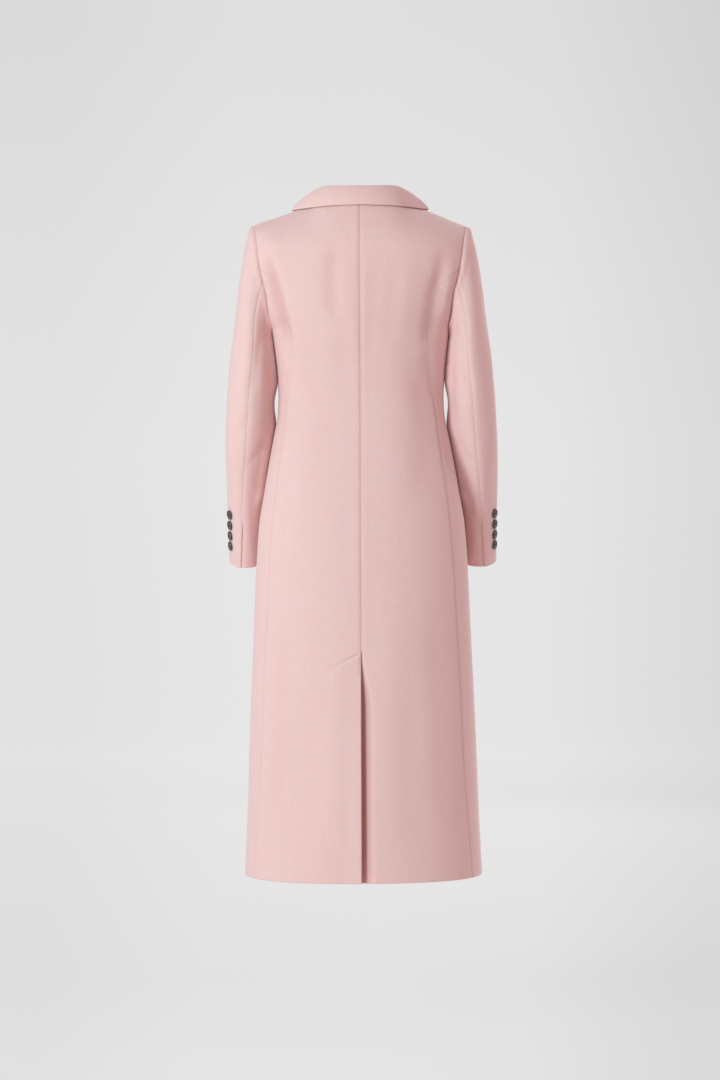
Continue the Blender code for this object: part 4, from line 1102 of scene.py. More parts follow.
def math_node(tree, operation, *values, at=(0, 0)):
    """A sum, product or the like of sockets or numbers."""
    made = node_of(tree, "ShaderNodeMath", at, operation=operation)
    for socket, value in zip(made.inputs, values):
        if isinstance(value, (int, float)):
            socket.default_value = value
        else:
            tree.links.new(value, socket)
    return made.outputs[0]


def noise(tree, coordinates, scale, detail, roughness, stretch, at):
    """Noise whose spots are longer along an axis where stretch is less than 1."""
    mapping = node_of(tree, "ShaderNodeMapping", (at[0] - 200, at[1]))
    mapping.inputs["Scale"].default_value = stretch
    tree.links.new(coordinates, mapping.inputs["Vector"])
    made = node_of(tree, "ShaderNodeTexNoise", at, Scale=scale, Detail=detail, Roughness=roughness)
    tree.links.new(mapping.outputs["Vector"], made.inputs["Vector"])
    return made.outputs["Fac"]


def ramp(tree, factor, stops, at):
    """Colours from a list of places and colours."""
    made = node_of(tree, "ShaderNodeValToRGB", at)
    elements = made.color_ramp.elements
    while len(elements) < len(stops):
        elements.new(0.5)
    for element, (place, colour) in zip(elements, stops):
        element.position = place
        element.color = (*colour, 1.0)
    tree.links.new(factor, made.inputs["Fac"])
    return made.outputs["Color"]


def bump(tree, height, strength, distance, before, at):
    """Relief by shading alone, on top of the one before it."""
    made = node_of(tree, "ShaderNodeBump", at, Strength=strength, Distance=distance)
    tree.links.new(height, made.inputs["Height"])
    if before:
        tree.links.new(before, made.inputs["Normal"])
    return made.outputs["Normal"]


WOOL_LIGHT = (0.815, 0.520, 0.506)
WOOL_MIDDLE = (0.780, 0.480, 0.467)
WOOL_DEEP = (0.745, 0.440, 0.428)
# painted shade: a deeper, more saturated wool colour mixed into seams, fold hollows and the vent's
# dip, standing in for their shade
WOOL_IN_PAINTED_SHADE = (0.62, 0.27, 0.265)
HORN_STREAKS = (
    (0.38, (0.016, 0.009, 0.006)),
    (0.54, (0.050, 0.027, 0.017)),
    (0.66, (0.115, 0.066, 0.040)),
    (0.80, (0.210, 0.135, 0.085)),
)
THREAD_SHADE = 0.72  # painted shade in the hollows of the thread's twist, as a share of its colour

# Noises: spots a metre, detail, roughness and stretch.
CLOUDS = (60.0, 2.0, 0.5, (1, 1, 0.6))
FLECKS = (900.0, 2.0, 0.6, (1, 1, 0.45))
NAP = (420.0, 3.0, 0.6, (1, 1, 0.30))
FELT = (150.0, 2.0, 0.5, (1, 1, 0.7))
STREAKS = (210.0, 4.0, 0.62, (1, 0.4, 1))
SCUFFS = (1500.0, 3.0, 0.6, (1, 1, 1))
TWIST = (2600.0, 1.0, 0.5, (1, 1, 2.5))

# Their relief: strength and height.
FELT_RELIEF, NAP_RELIEF, FLECK_RELIEF = (0.35, 0.0006), (0.45, 0.0004), (0.30, 0.0002)
SCUFF_RELIEF, TWIST_RELIEF = (0.12, 0.0001), (0.5, 0.0001)


def fresh_material(name):
    """A material, its nodes, its shader and the object's coordinates."""
    material = bpy.data.materials.new(name)
    material.use_nodes = True
    tree = material.node_tree
    place = node_of(tree, "ShaderNodeTexCoord", (-1400, 0)).outputs["Object"]
    return material, tree, tree.nodes["Principled BSDF"], place


@cache
def wool():
    """Brushed wool: a short soft nap that runs down the coat, with flecks of lighter fibre."""
    material, tree, shader, place = fresh_material("brushed wool")
    clouds = noise(tree, place, *CLOUDS, (-900, 300))
    fleck = noise(tree, place, *FLECKS, (-900, 0))
    nap = noise(tree, place, *NAP, (-900, -300))
    felt = noise(tree, place, *FELT, (-900, -600))
    faint = math_node(tree, "MULTIPLY", clouds, 0.05, at=(-720, 300))
    mixed = math_node(tree, "MULTIPLY_ADD", fleck, 0.95, faint, at=(-560, 200))
    stops = ((0.30, WOOL_DEEP), (0.50, WOOL_MIDDLE), (0.70, WOOL_LIGHT))
    colour = ramp(tree, mixed, stops, (-420, 200))
    # Painted shade: a per-point share mixes the deeper colour into seams, fold hollows and the vent's
    # dip.
    painted_shade = node_of(tree, "ShaderNodeAttribute", (-420, 460), attribute_name="painted_shade")
    deepened = node_of(tree, "ShaderNodeMix", (-200, 300), data_type="RGBA")
    tree.links.new(painted_shade.outputs["Fac"], deepened.inputs["Factor"])
    tree.links.new(colour, deepened.inputs["A"])
    deepened.inputs["B"].default_value = (*WOOL_IN_PAINTED_SHADE, 1.0)
    tree.links.new(deepened.outputs["Result"], shader.inputs["Base Color"])
    soft = bump(tree, felt, *FELT_RELIEF, None, (-460, -600))
    hairs = bump(tree, nap, *NAP_RELIEF, soft, (-300, -400))
    fuzz = bump(tree, fleck, *FLECK_RELIEF, hairs, (-140, -300))
    tree.links.new(fuzz, shader.inputs["Normal"])
    set_inputs(shader, Roughness=0.92, Specular_IOR_Level=0.18)
    set_inputs(shader, Subsurface_Weight=0.20, Subsurface_Scale=0.004)
    set_inputs(shader, Subsurface_Radius=(1.0, 0.42, 0.38))
    set_inputs(shader, Sheen_Weight=0.65, Sheen_Roughness=0.32, Sheen_Tint=(1.0, 0.95, 0.94, 1.0))
    return material


@cache
def horn():
    """Dark brown horn with lighter streaks and a worn satin polish."""
    material, tree, shader, place = fresh_material("dark horn")
    streaks = noise(tree, place, *STREAKS, (-900, 200))
    tree.links.new(ramp(tree, streaks, HORN_STREAKS, (-420, 200)), shader.inputs["Base Color"])
    scuffs = noise(tree, place, *SCUFFS, (-900, -200))
    rough = node_of(tree, "ShaderNodeMapRange", (-420, -100), To_Min=0.22, To_Max=0.42)
    tree.links.new(scuffs, rough.inputs["Value"])
    tree.links.new(rough.outputs["Result"], shader.inputs["Roughness"])
    worn = bump(tree, scuffs, *SCUFF_RELIEF, None, (-300, -300))
    tree.links.new(worn, shader.inputs["Normal"])
    set_inputs(shader, Coat_Weight=0.25, Coat_Roughness=0.18)
    return material


@cache
def thread(name, colour):
    """Twisted sewing thread."""
    material, tree, shader, place = fresh_material(name)
    twist = noise(tree, place, *TWIST, (-600, 0))
    darker = tuple(THREAD_SHADE * c for c in colour)
    shade = ramp(tree, twist, ((0.35, darker), (0.65, colour)), (-300, 100))
    tree.links.new(shade, shader.inputs["Base Color"])
    twisted = bump(tree, twist, *TWIST_RELIEF, None, (-300, -200))
    tree.links.new(twisted, shader.inputs["Normal"])
    set_inputs(shader, Roughness=0.6)
    return material


# ---------------------------------------------------------------- cloth pieces


NAMES = {1: "left", -1: "right"}


def build_back(side):
    """A back half with its folds, seams and hem, sewn down to the vent."""
    points, normals = back_grid(side)
    distances = from_edges(points)
    if side < 0:  # the underlap lies past the seam, and is measured from it too
        seam_column = points.shape[1] - shares(BACK_SPAN).shape[1]
        distances["left"] = np.abs(distances["left"] - distances["left"][:, seam_column][:, None])
    out, height = points[..., 0], points[..., 2]
    depth = fold_depth(BACK_FOLDS, side * out, height) + fold_depth(BACK_CREASES, side * out, height)
    sewn = ease(VENT_TOP - 0.004, VENT_TOP + 0.006, height)
    princess = princess_share(side, height)
    depth = depth + seam_relief(distances["left"], sewn)
    depth = depth + seam_relief(distances["right"], princess)
    depth = depth + seam_relief(distances["high"])
    depth = depth + waver(to_world(points, side), *BODY_WAVER)
    if side > 0:
        lifted = ease(VENT_LIFT_WIDTH, 0.0, distances["left"])
        depth = depth + vent_stitch_relief(points)
        depth = depth - VENT_LIFT * lifted * ease(VENT_TOP, VENT_LIFT_HEIGHT, height)
    else:
        dip = vent_dip(out, height)
        depth = depth + dip
    outer = points - normals * depth[..., None]
    thickness = WALL + inner_step(distances, ("left", "right", "high"), "low")
    unsewn = ease(VENT_TOP + 0.002, VENT_TOP - 0.002, height)
    free = {"low": 1, "right": 0, "high": 0, "left": unsewn}
    # Painted shade: a deeper colour along the sewn seams.
    painted_shade = seam_painted_shade(distances["left"], SEAM_PAINTED_SHADE * sewn)
    painted_shade = painted_shade + seam_painted_shade(distances["right"], SEAM_PAINTED_SHADE * princess)
    # Painted shade in the hollows of the back's folds.
    painted_shade = painted_shade + fold_painted_shade(side * out, height)
    # Painted shade in the right half's dip beside the vent, where the lap's shadow falls.
    if side < 0:
        painted_shade = painted_shade + dip / VENT_DIP
    painted_shade = np.minimum(painted_shade, 1.0)
    node = f"back_{NAMES[side]}"
    cloth_piece(node, outer, normals, thickness, free, side, painted_shade)


def vent_stitch_line(share):
    """The slanting line that holds the vent's underlap, from the centre back outwards."""
    x = VENT_STITCH_START + (VENT_STITCH_LENGTH - VENT_STITCH_START) * share
    return x, VENT_TOP - VENT_STITCH_START - VENT_SLOPE * x


def vent_stitch_relief(points):
    """How far the cloth sinks along that line, and swells just below it."""
    x, height = points[..., 0], points[..., 2]
    share = (x - VENT_STITCH_START) / (VENT_STITCH_LENGTH - VENT_STITCH_START)
    _, line = vent_stitch_line(share)
    # Both fade at the line's ends, and the swelling also towards 50 mm below it.
    along = ease(-0.05, 0.05, share) * ease(1.04, 0.72, share)
    away = (height - line) / math.sqrt(1 + VENT_SLOPE**2)
    below = ease(0.0005, -0.004, away) * ease(-0.05, -0.006, away)
    return along * (VENT_DITCH * bell(away, VENT_DITCH_WIDTH) - VENT_SWELL * below)


def build_side(side):
    """A side panel, between the princess seam and the side-front seam."""
    points, normals = side_grid()
    distances = from_edges(points)
    x, height = side * points[..., 0], points[..., 2]
    behind, before = points[..., 1] > 0, points[..., 1] < 0
    princess = princess_share(side, height)
    depth = fold_depth(BACK_FOLDS, x, height) * behind
    depth = depth + fold_depth(BACK_CREASES, x, height) * behind
    depth = depth + fold_depth(FRONT_CREASES, x, height) * before
    depth = depth + seam_relief(distances["left"], princess)
    depth = depth + seam_relief(distances["right"]) + seam_relief(distances["high"])
    depth = depth + waver(to_world(points, side), *BODY_WAVER)
    outer = points - normals * depth[..., None]
    thickness = WALL + inner_step(distances, ("left", "right"), "low")
    free = {"low": 1, "right": 0, "high": 0, "left": 0}
    # Painted shade along the side-back seam and in the back's fold hollows.
    painted_shade = seam_painted_shade(distances["left"], SEAM_PAINTED_SHADE * princess) + fold_painted_shade(x, height) * behind
    cloth_piece(f"side_{NAMES[side]}", outer, normals, thickness, free, side, painted_shade)


def front_surface(side):
    """A front with its creases, and the right one proud where it laps over."""
    points, normals = front_grid()
    depth = fold_depth(FRONT_CREASES, side * points[..., 0], points[..., 2])
    depth = depth + waver(to_world(points, side), *BODY_WAVER)
    if side < 0:
        points = raised(points, normals)
    return points - normals * depth[..., None], normals


def build_front(side):
    """A front, from its free edge and the lapel's roll to the side-front seam."""
    points, normals = front_surface(side)
    distances = from_edges(points)
    depth = seam_relief(distances["right"]) + seam_relief(distances["high"])
    outer = points - normals * depth[..., None]
    thickness = WALL + inner_step(distances, ("right", "high"), "low")
    free = {"low": 1, "right": 0, "high": 0, "left": 1}
    cloth_piece(f"front_{NAMES[side]}", outer, normals, thickness, free, side)


def sleeve_surface(part):
    """A part of the left sleeve with its creases and the swelling beside the armhole."""
    points, normals, turn = sleeve_grid(part)
    from_armhole = np.linalg.norm(points - armhole(turn), axis=-1)
    depth = sleeve_crease_depth(turn, points[..., 2])
    depth = depth - CAP_SWELL * bell(from_armhole - CAP_SWELL_PLACE, CAP_SWELL_WIDTH)
    return points - normals * depth[..., None], normals


def leaning(points, normals):
    """How far the sleeve's cloth swells towards the body where the arm rests against it."""
    trees = [surface_tree(side_grid()[0]), surface_tree(back_grid(1)[0])]
    height = points[..., 2]
    share = np.maximum(*[ease(*start, height) * ease(*end, height) for start, end in REST_SPANS])
    world = to_world(points)
    push = np.zeros(points.shape[:-1])
    for at in zip(*np.nonzero(share > 0)):
        point, way = Vector(world[at]), Vector(normals[at])
        hits = [tree.ray_cast(point, way, REST_REACH)[3] for tree in trees]
        near = min([hit for hit in hits if hit is not None], default=None)
        if near is not None:
            push[at] = share[at] * min(max(near - REST_GAP, 0.0), REST_MOST)
    return blurred(push, 3)


def blurred(grid, times):
    """A grid with its values evened out."""
    for _ in range(times):
        grid[1:-1] = (grid[:-2] + 2 * grid[1:-1] + grid[2:]) / 4
        grid[:, 1:-1] = (grid[:, :-2] + 2 * grid[:, 1:-1] + grid[:, 2:]) / 4
    return grid


def build_sleeve(side, part):
    """A top or under sleeve, with the cuff's lap at the end of its back seam."""
    points, normals = sleeve_surface(part)
    points = points + normals * leaning(points, normals)[..., None]
    distances = from_edges(points)
    points = points - normals * waver(to_world(points, side), *SLEEVE_WAVER)[..., None]
    cuff = distances["high"]
    lapped = ease(*CUFF_LAP_STARTS, cuff)
    front, back = ("left", "right") if part == "top" else ("right", "left")
    depth = seam_relief(distances["low"]) + seam_relief(distances[front])
    depth = depth + seam_relief(distances[back], 1 - CUFF_SEAM_LOST * lapped)
    step = CUFF_LAP_STEP * lapped * ease(CUFF_STEP_WIDTH, 0.0, distances[back])
    depth = depth - step if part == "top" else depth + step
    depth = depth + CUFF_GROOVE * bell(cuff - CUFF_GROOVE_PLACE, CUFF_GROOVE_WIDTH)
    outer = points - normals * depth[..., None]
    thickness = WALL + inner_step(distances, ("left", "right", "low"), "high")
    free = {"low": 0, "high": 1, "left": 0, "right": 0}
    if part == "top":
        past = unit(points[:, -1:] - points[:, -2:-1])
        reach = CUFF_LAP * lapped * ease(CUFF_LAP_WIDTH, 0.0, distances[back])
        outer = outer + past * reach[..., None]
        lap = lapped * ease(ALLOWANCE + ALLOWANCE_FADE, ALLOWANCE, distances[back])
        thickness = thickness + (WALL - thickness) * lap
        free[back] = ease(CUFF_VENT, CUFF_VENT - 0.030, cuff)
    node = f"sleeve_{part}_{NAMES[side]}"
    cloth_piece(node, outer, normals, thickness, free, side)


# ---------------------------------------------------------------- collar and lapels


def surface_tree(points, side=1):
    """A grid of points as a surface that lines can be aimed at."""
    world = to_world(points, side)
    faces = grid_faces(*world.shape[:2])
    return BVHTree.FromPolygons(world.reshape(-1, 3).tolist(), faces.tolist())


def meet(trees, start, way):
    """The first point and outward normal that a line meets on any of the panels."""
    hits = [tree.ray_cast(Vector(start), Vector(way)) for tree in trees]
    hits = [hit for hit in hits if hit[0] is not None]
    if not hits:
        near = Vector(start) + Vector(way) * NEAR_REACH
        hits = [tree.find_nearest(near) for tree in trees]
    point, normal, _, _ = min(hits, key=lambda hit: hit[3])
    normal = np.array(normal)
    return np.array(point), normal * -np.sign(np.dot(normal, way))


def roll_share(height):
    """How far up the front cap its free edge reaches a height."""
    up = np.linspace(0, 1, ROLL_SAMPLES)
    return float(np.interp(height, front_cap(0.0, up)[..., 2], up))


def roll_point(height):
    """Seen from the front, the point of the left roll line at a height."""
    if height <= SECTION_TOP:
        return np.array([float(front_edge(height)), height])
    return np.array([float(front_cap(0.0, roll_share(height))[0]), height])


def lapel_outline(share):
    """Seen from the front: the roll line's point and the free edge's point at each row."""
    first = BREAK_HEIGHT + LAPEL_START
    roll = roll_point(first + (GORGE_HEIGHT - first) * share) + np.array([EDGE_CATCH, 0])
    start = np.array([float(front_edge(first)) + LAPEL_START, first])
    edge = start + (np.array(LAPEL_TIP) - start) * share
    belly = LAPEL_BELLY * math.sin(math.pi * share)
    return roll, edge + np.array([belly, -belly * LAPEL_BELLY_DROP])


def build_lapel(side):
    """A lapel, turned back and lying on the front."""
    rows, columns = round(LAPEL_RISE / CELL), round(LAPEL_SPAN / CELL)
    trees = [surface_tree(front_surface(side)[0], side)]
    outer = np.zeros((rows + 1, columns + 1, 3))
    normals = np.zeros_like(outer)
    for i in range(rows + 1):
        roll, edge = lapel_outline(i / rows)
        for j in range(columns + 1):
            x, height = roll + (edge - roll) * (j / columns)
            point, normal = meet(trees, (side * x, -1, height - NECK_HEIGHT), (0, 1, 0))
            lift = LAPEL_LIFT + LAPEL_EDGE_LIFT * (j / columns) * (i / rows)
            outer[i, j] = point + normal * (lift + WALL)
            normals[i, j] = normal
    normals = unit(blurred(normals, 6))
    outer[..., 2] += NECK_HEIGHT
    free = {"low": 1, "right": 1, "high": 1, "left": 0.6}
    cloth_piece(f"lapel_{NAMES[side]}", outer, normals, WALL, free)


def collar_station(station):
    """Neck seam point, lean and stand height at a station of the collar."""
    gorge = roll_share(GORGE_HEIGHT)
    if station <= 1:
        seam = neckline(np.array(station))
    else:
        seam = front_cap(0.0, 1 - (station - 1) * (1 - gorge))
    lean = unit([smooth(COLLAR, f"lean_{axis}", station) for axis in "xyz"])
    return seam, lean, float(smooth(COLLAR, "stand_height", station))


def collar_outward(station):
    """The level direction that points away from the neck."""
    if station == 0:
        return np.array([0, 1.0, 0])
    step = 0.02
    before, _, _ = collar_station(max(station - step, 0))
    after, _, _ = collar_station(min(station + step, 2))
    along = after - before
    way = np.array([-along[1], along[0], 0.0])
    return unit(way * np.sign(way[0] + way[1] * 0.2))


def mirrored(half):
    """Rows from one gorge over the centre back to the other."""
    other = [row * np.array([-1, 1, 1]) for row in half[:0:-1]]
    return np.array(other + half)


def stand_row(station):
    """One section of the stand, from the neck seam up."""
    seam, lean, height = collar_station(station)
    outward = collar_outward(station)
    share = np.linspace(0, 1, STAND_POINTS)[:, None]
    belly = outward * STAND_BELLY * np.sin(np.pi * share)
    return seam + lean * (STAND_GAP + height * share) + belly, np.tile(outward, (STAND_POINTS, 1))


def gorge_row(trees):
    """The fall's front end: along the gorge to the notch, then up to the collar's own tip."""
    roll = roll_point(GORGE_HEIGHT) + np.array([EDGE_CATCH, 0])
    notch = roll + (np.array(LAPEL_TIP) - roll) * NOTCH_SHARE
    clear = np.array([0, GORGE_GAP])
    row, out = [], []
    for share in np.linspace(0, 1, FALL_POINTS):
        along, up = min(share / GORGE_PART, 1), max(share - GORGE_PART, 0) / (1 - GORGE_PART)
        x, height = roll + (notch - roll) * along + (np.array(COLLAR_TIP) - notch) * up + clear
        point, normal = meet(trees, (x, -1, height - NECK_HEIGHT), (0, 1, 0))
        lift = LAPEL_LIFT + LAPEL_EDGE_LIFT * share + COLLAR_WALL
        row.append(point + normal * lift + np.array([0, 0, NECK_HEIGHT]))
        out.append(normal)
    return np.array(row), np.array(out)


def fall_row(trees, station):
    """One section of the turned-down part, from above the stand to its free edge."""
    if station == 2:
        return gorge_row(trees)
    seam, lean, height = collar_station(station)
    outward = collar_outward(station)
    start = seam + lean * (STAND_GAP + height + ROLL_GAP) - outward * WALL
    turn = math.radians(max(float(smooth(COLLAR, "edge_turn", station)), CLEAR_OF_CENTRE))
    edge_height = float(smooth(COLLAR, "edge_height", station)) - NECK_HEIGHT
    way = np.array([math.sin(turn), math.cos(turn), 0.0])
    far = way * COLLAR_FAR + np.array([0, 0, edge_height])
    hit, normal = meet(trees, tuple(far), tuple(-way))
    edge = hit + normal * (COLLAR_WALL + COLLAR_LIFT) + np.array([0, 0, NECK_HEIGHT])
    edge[0] *= station > 0
    first = start + lean * ROLL_RISE
    second = edge + (start - edge) * ROLL_SHARE + np.array([0, 0, ROLL_LIFT]) + outward * ROLL_OUT
    t = np.linspace(0, 1, FALL_POINTS)[:, None]
    curve = (1 - t) ** 3 * start + 3 * (1 - t) ** 2 * t * first
    curve = curve + 3 * (1 - t) * t**2 * second + t**3 * edge
    run = 3 * (1 - t) ** 2 * (first - start) + 6 * (1 - t) * t * (second - first)
    run = run + 3 * t**2 * (edge - second)
    along = np.cross(outward, np.array([0, 0, 1.0]))
    inward = unit(np.cross(run, along))
    inward = inward * np.sign(inward[0] @ outward)
    return curve, -inward


def build_collar():
    """The stand, and the fall turned down over it onto the back and fronts."""
    stations = np.linspace(0, 2, COLLAR_STATIONS)
    stand = [stand_row(s) for s in stations if s <= STAND_END]
    outer = mirrored([points for points, _ in stand])
    normals = mirrored([out for _, out in stand])
    free = {"low": 1, "high": 1, "left": 0, "right": 0}
    cloth_piece("collar_stand", outer, normals, WALL, free)
    panels = back_grid(1)[0], front_grid()[0]
    trees = [surface_tree(panel, side) for side in (1, -1) for panel in panels]
    fall = [fall_row(trees, s) for s in stations]
    outer = mirrored([points for points, _ in fall])
    normals = unit(blurred(mirrored([out for _, out in fall]), 3))
    free = {"low": 1, "high": 1, "left": 0.5, "right": 1}
    cloth_piece("collar_fall", outer, normals, COLLAR_WALL, free)


# ---------------------------------------------------------------- buttons and sewing

# A button's section from its back's middle over the rim to its front's middle, as shares of
# its radius and its thickness.
BUTTON_PROFILE = table(
    "out height",
    (0.00, 0.06),
    (0.60, 0.02),
    (0.86, 0.18),
    (0.97, 0.40),
    (1.00, 0.58),
    (0.98, 0.78),
    (0.93, 0.93),
    (0.86, 1.00),
    (0.79, 0.97),
    (0.72, 0.84),
    (0.64, 0.74),
    (0.50, 0.69),
    (0.00, 0.67),
)
BUTTON_STEPS = 64


def button_mesh(name, radius, thickness):
    """A dished four-hole button with a raised rounded rim, its back at z 0."""
    shape = bmesh.new()
    outs, heights = BUTTON_PROFILE["out"] * radius, BUTTON_PROFILE["height"] * thickness
    verts = [shape.verts.new((out, 0, height)) for out, height in zip(outs, heights)]
    edges = [shape.edges.new(pair) for pair in zip(verts, verts[1:])]
    round_way = {"axis": (0, 0, 1), "cent": (0, 0, 0), "angle": math.tau}
    bmesh.ops.spin(shape, geom=verts + edges, steps=BUTTON_STEPS, **round_way)
    bmesh.ops.remove_doubles(shape, verts=shape.verts[:], dist=MERGE_DISTANCE)
    bmesh.ops.recalc_face_normals(shape, faces=shape.faces[:])
    disc = placed(name, mesh_of(shape, name))
    cutter = hole_cutter(name + "_holes", radius, thickness)
    cut = disc.modifiers.new("holes", "BOOLEAN")
    cut.operation = "DIFFERENCE"
    cut.solver = "EXACT"
    cut.object = cutter
    bpy.context.view_layer.update()
    evaluated = disc.evaluated_get(bpy.context.evaluated_depsgraph_get())
    drilled = bpy.data.meshes.new_from_object(evaluated)
    drilled.name = name
    drilled.shade_smooth()
    drilled.set_sharp_from_angle(angle=SHARP_ANGLE)
    drilled.materials.append(horn())
    for old in (disc, cutter):
        bpy.data.objects.remove(old, do_unlink=True)
    return drilled


def hole_places(radius):
    """The middles of a button's four holes."""
    place = HOLE_PLACE * radius
    return [(place * sx, place * sy) for sx in (-1, 1) for sy in (-1, 1)]


def hole_cutter(name, radius, thickness):
    """Four rods through a button's holes."""
    shape = bmesh.new()
    size = HOLE_RADIUS * radius
    rod = {"segments": 20, "radius1": size, "radius2": size, "depth": thickness * 3}
    for x, y in hole_places(radius):
        place = Matrix.Translation((x, y, thickness / 2))
        bmesh.ops.create_cone(shape, cap_ends=True, matrix=place, **rod)
    return placed(name, mesh_of(shape, name))


TUBE_END = 0.35  # a thread's ends, as a share of its radius


def tube(shape, path, radius, sides=8):
    """A round thread along a short path, with closed ends."""
    path = [Vector(p) for p in path]
    rings = []
    for k, point in enumerate(path):
        run = (path[min(k + 1, len(path) - 1)] - path[max(k - 1, 0)]).normalized()
        across = run.orthogonal().normalized()
        other = run.cross(across)
        size = radius * (TUBE_END if k in (0, len(path) - 1) else 1.0)
        turns = [math.tau * s / sides for s in range(sides)]
        spokes = [(across * math.cos(turn) + other * math.sin(turn)) * size for turn in turns]
        rings.append([shape.verts.new(point + spoke) for spoke in spokes])
    for first, second in zip(rings, rings[1:]):
        for s in range(sides):
            t = (s + 1) % sides
            shape.faces.new((first[s], first[t], second[t], second[s]))
    shape.faces.new(rings[0][::-1])
    shape.faces.new(rings[-1])


def thread_mesh(shape, name, material):
    """The smooth mesh of a bmesh's tubes."""
    bmesh.ops.recalc_face_normals(shape, faces=shape.faces[:])
    mesh = mesh_of(shape, name)
    mesh.shade_smooth()
    mesh.materials.append(material)
    return mesh


STRAND_RADIUS = 0.42  # of a hole's
STRAND_SUNK = 0.35  # how far its ends go down the holes, as a share of the button's thickness
STRAND_BOW = 0.4  # the power that makes it lie flat between them
STRAND_POINTS = 9
SHANK_RADIUS = 0.26  # of the button's


def cross_thread_mesh(name, radius, thickness, colour):
    """Thread through the four holes: two parallel stitches, two strands each, and the shank."""
    shape = bmesh.new()
    place, top = HOLE_PLACE * radius, BUTTON_TOP * thickness
    strand = STRAND_RADIUS * HOLE_RADIUS * radius
    sunk = STRAND_SUNK * thickness
    for x in (-place, place):
        for shift in (-0.55 * strand, 0.55 * strand):
            path = []
            for share in np.linspace(0, 1, STRAND_POINTS):
                bow = math.sin(math.pi * share) ** STRAND_BOW
                path.append((x + shift, place * (2 * share - 1), top - sunk + (sunk + strand) * bow))
            tube(shape, path, strand)
    shank = [(0, 0, -0.0006), (0, 0, 0.0002), (0, 0, 0.12 * thickness)]
    tube(shape, shank, SHANK_RADIUS * radius, 12)
    return thread_mesh(shape, name, thread(name + " thread", colour))


def button_frame(node):
    """Where a button's node lies: its back's middle, and its axis pointing off the cloth."""
    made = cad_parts[node]
    points = np.array([made.matrix_world @ v.co for v in made.data.vertices])
    middle = (points.min(axis=0) + points.max(axis=0)) / 2
    centre = points.mean(axis=0)
    _, _, ways = np.linalg.svd(points - centre)
    axis = ways[2]
    # The axis points away from the body's middle, or from the arm's at a cuff.
    heart = np.array([0, 0, middle[2]])
    if node.startswith("cuff"):
        heart[:2] = WRIST[0] * np.sign(middle[0]), WRIST[1]
    axis = axis * np.sign(axis @ (middle - heart))
    reach = (points - centre) @ axis
    flat_middle = centre - axis * reach.mean()
    radial = points - centre - np.outer(reach, axis)
    flat_middle = flat_middle + (radial.max(axis=0) + radial.min(axis=0)) / 2
    return flat_middle + axis * reach.min(), axis


def build_buttons():
    """Each button with its thread, turned a little its own way."""
    looks = {}
    for kind, (radius, thickness) in BUTTONS.items():
        disc = button_mesh(f"{kind}_button", radius, thickness)
        looks[kind] = disc, cross_thread_mesh(f"{kind}_button_stitch", radius, thickness, BROWN)
    nodes = [f"cuff_button_{side}_{k}" for side in ("left", "right") for k in range(1, 5)]
    nodes += [f"front_button_{k}" for k in range(1, 4)]
    for count, node in enumerate(nodes):
        disc, stitches = looks[node.split("_")[0]]
        base, axis = button_frame(node)
        turned = BUTTON_TURN * math.sin(count * 2.4)
        made = placed(f"{node}_horn", disc)
        sewn = placed(f"{node}_thread", stitches)
        for piece in (made, sewn):
            piece.matrix_world = button_matrix(base, axis, turned)
            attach(piece, "root")
        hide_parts(node)


def button_matrix(base, axis, turned):
    """The place of a button on its base, turned about its axis by so many degrees."""
    axis_z = Vector(axis).normalized()
    axis_x = Vector((0, 0, 1)).cross(axis_z).normalized()
    place = Matrix((axis_x, axis_z.cross(axis_x), axis_z)).transposed().to_4x4()
    return Matrix.Translation(Vector(base)) @ place @ Matrix.Rotation(math.radians(turned), 4, "Z")


def sewing_piece(shape, name):
    """Stitches of pink thread, joined in one piece."""
    made = placed(name, thread_mesh(shape, name, thread("pink thread", PINK)))
    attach(made, "root")


def build_buttonholes():
    """A corded buttonhole beside each front button, from under it towards the free edge."""
    trees = [surface_tree(raised(*front_grid()), -1)]
    shape = bmesh.new()
    for k in range(1, 4):
        base, _ = button_frame(f"front_button_{k}")
        for step in range(BUTTONHOLE_STITCHES):
            turn = math.tau * step / BUTTONHOLE_STITCHES
            along = BUTTONHOLE_HALF[0] * power(math.cos(turn), BUTTONHOLE_SQUARED[0])
            up = BUTTONHOLE_HALF[1] * power(math.sin(turn), BUTTONHOLE_SQUARED[1])
            x, z = base[0] + BUTTONHOLE_SHIFT + along, base[2] + up
            point, normal = meet(trees, (x, -1, z), (0, 1, 0))
            away = np.array([0, 0, 1.0 if math.sin(turn) >= 0 else -1.0])
            path = [point + normal * off + away * out for off, out in BUTTONHOLE_STITCH]
            tube(shape, path, BUTTONHOLE_CORD, 6)
    sewing_piece(shape, "buttonholes")


def build_vent_stitches():
    """Short stitches sunk in the slanting line at the top of the vent."""
    points, normals = back_grid(1)
    depth = vent_stitch_relief(points)
    trees = [surface_tree(points - normals * depth[..., None])]
    shape = bmesh.new()
    for k in range(VENT_STITCHES):
        path = []
        for part, lift in VENT_STITCH:
            x, height = vent_stitch_line((k + part) / VENT_STITCHES * VENT_STITCHED)
            point, normal = meet(trees, (x, 1, height - NECK_HEIGHT), (0, -1, 0))
            path.append(point + normal * lift)
        tube(shape, path, VENT_CORD, 6)
    sewing_piece(shape, "vent_stitches")


# ---------------------------------------------------------------- studio

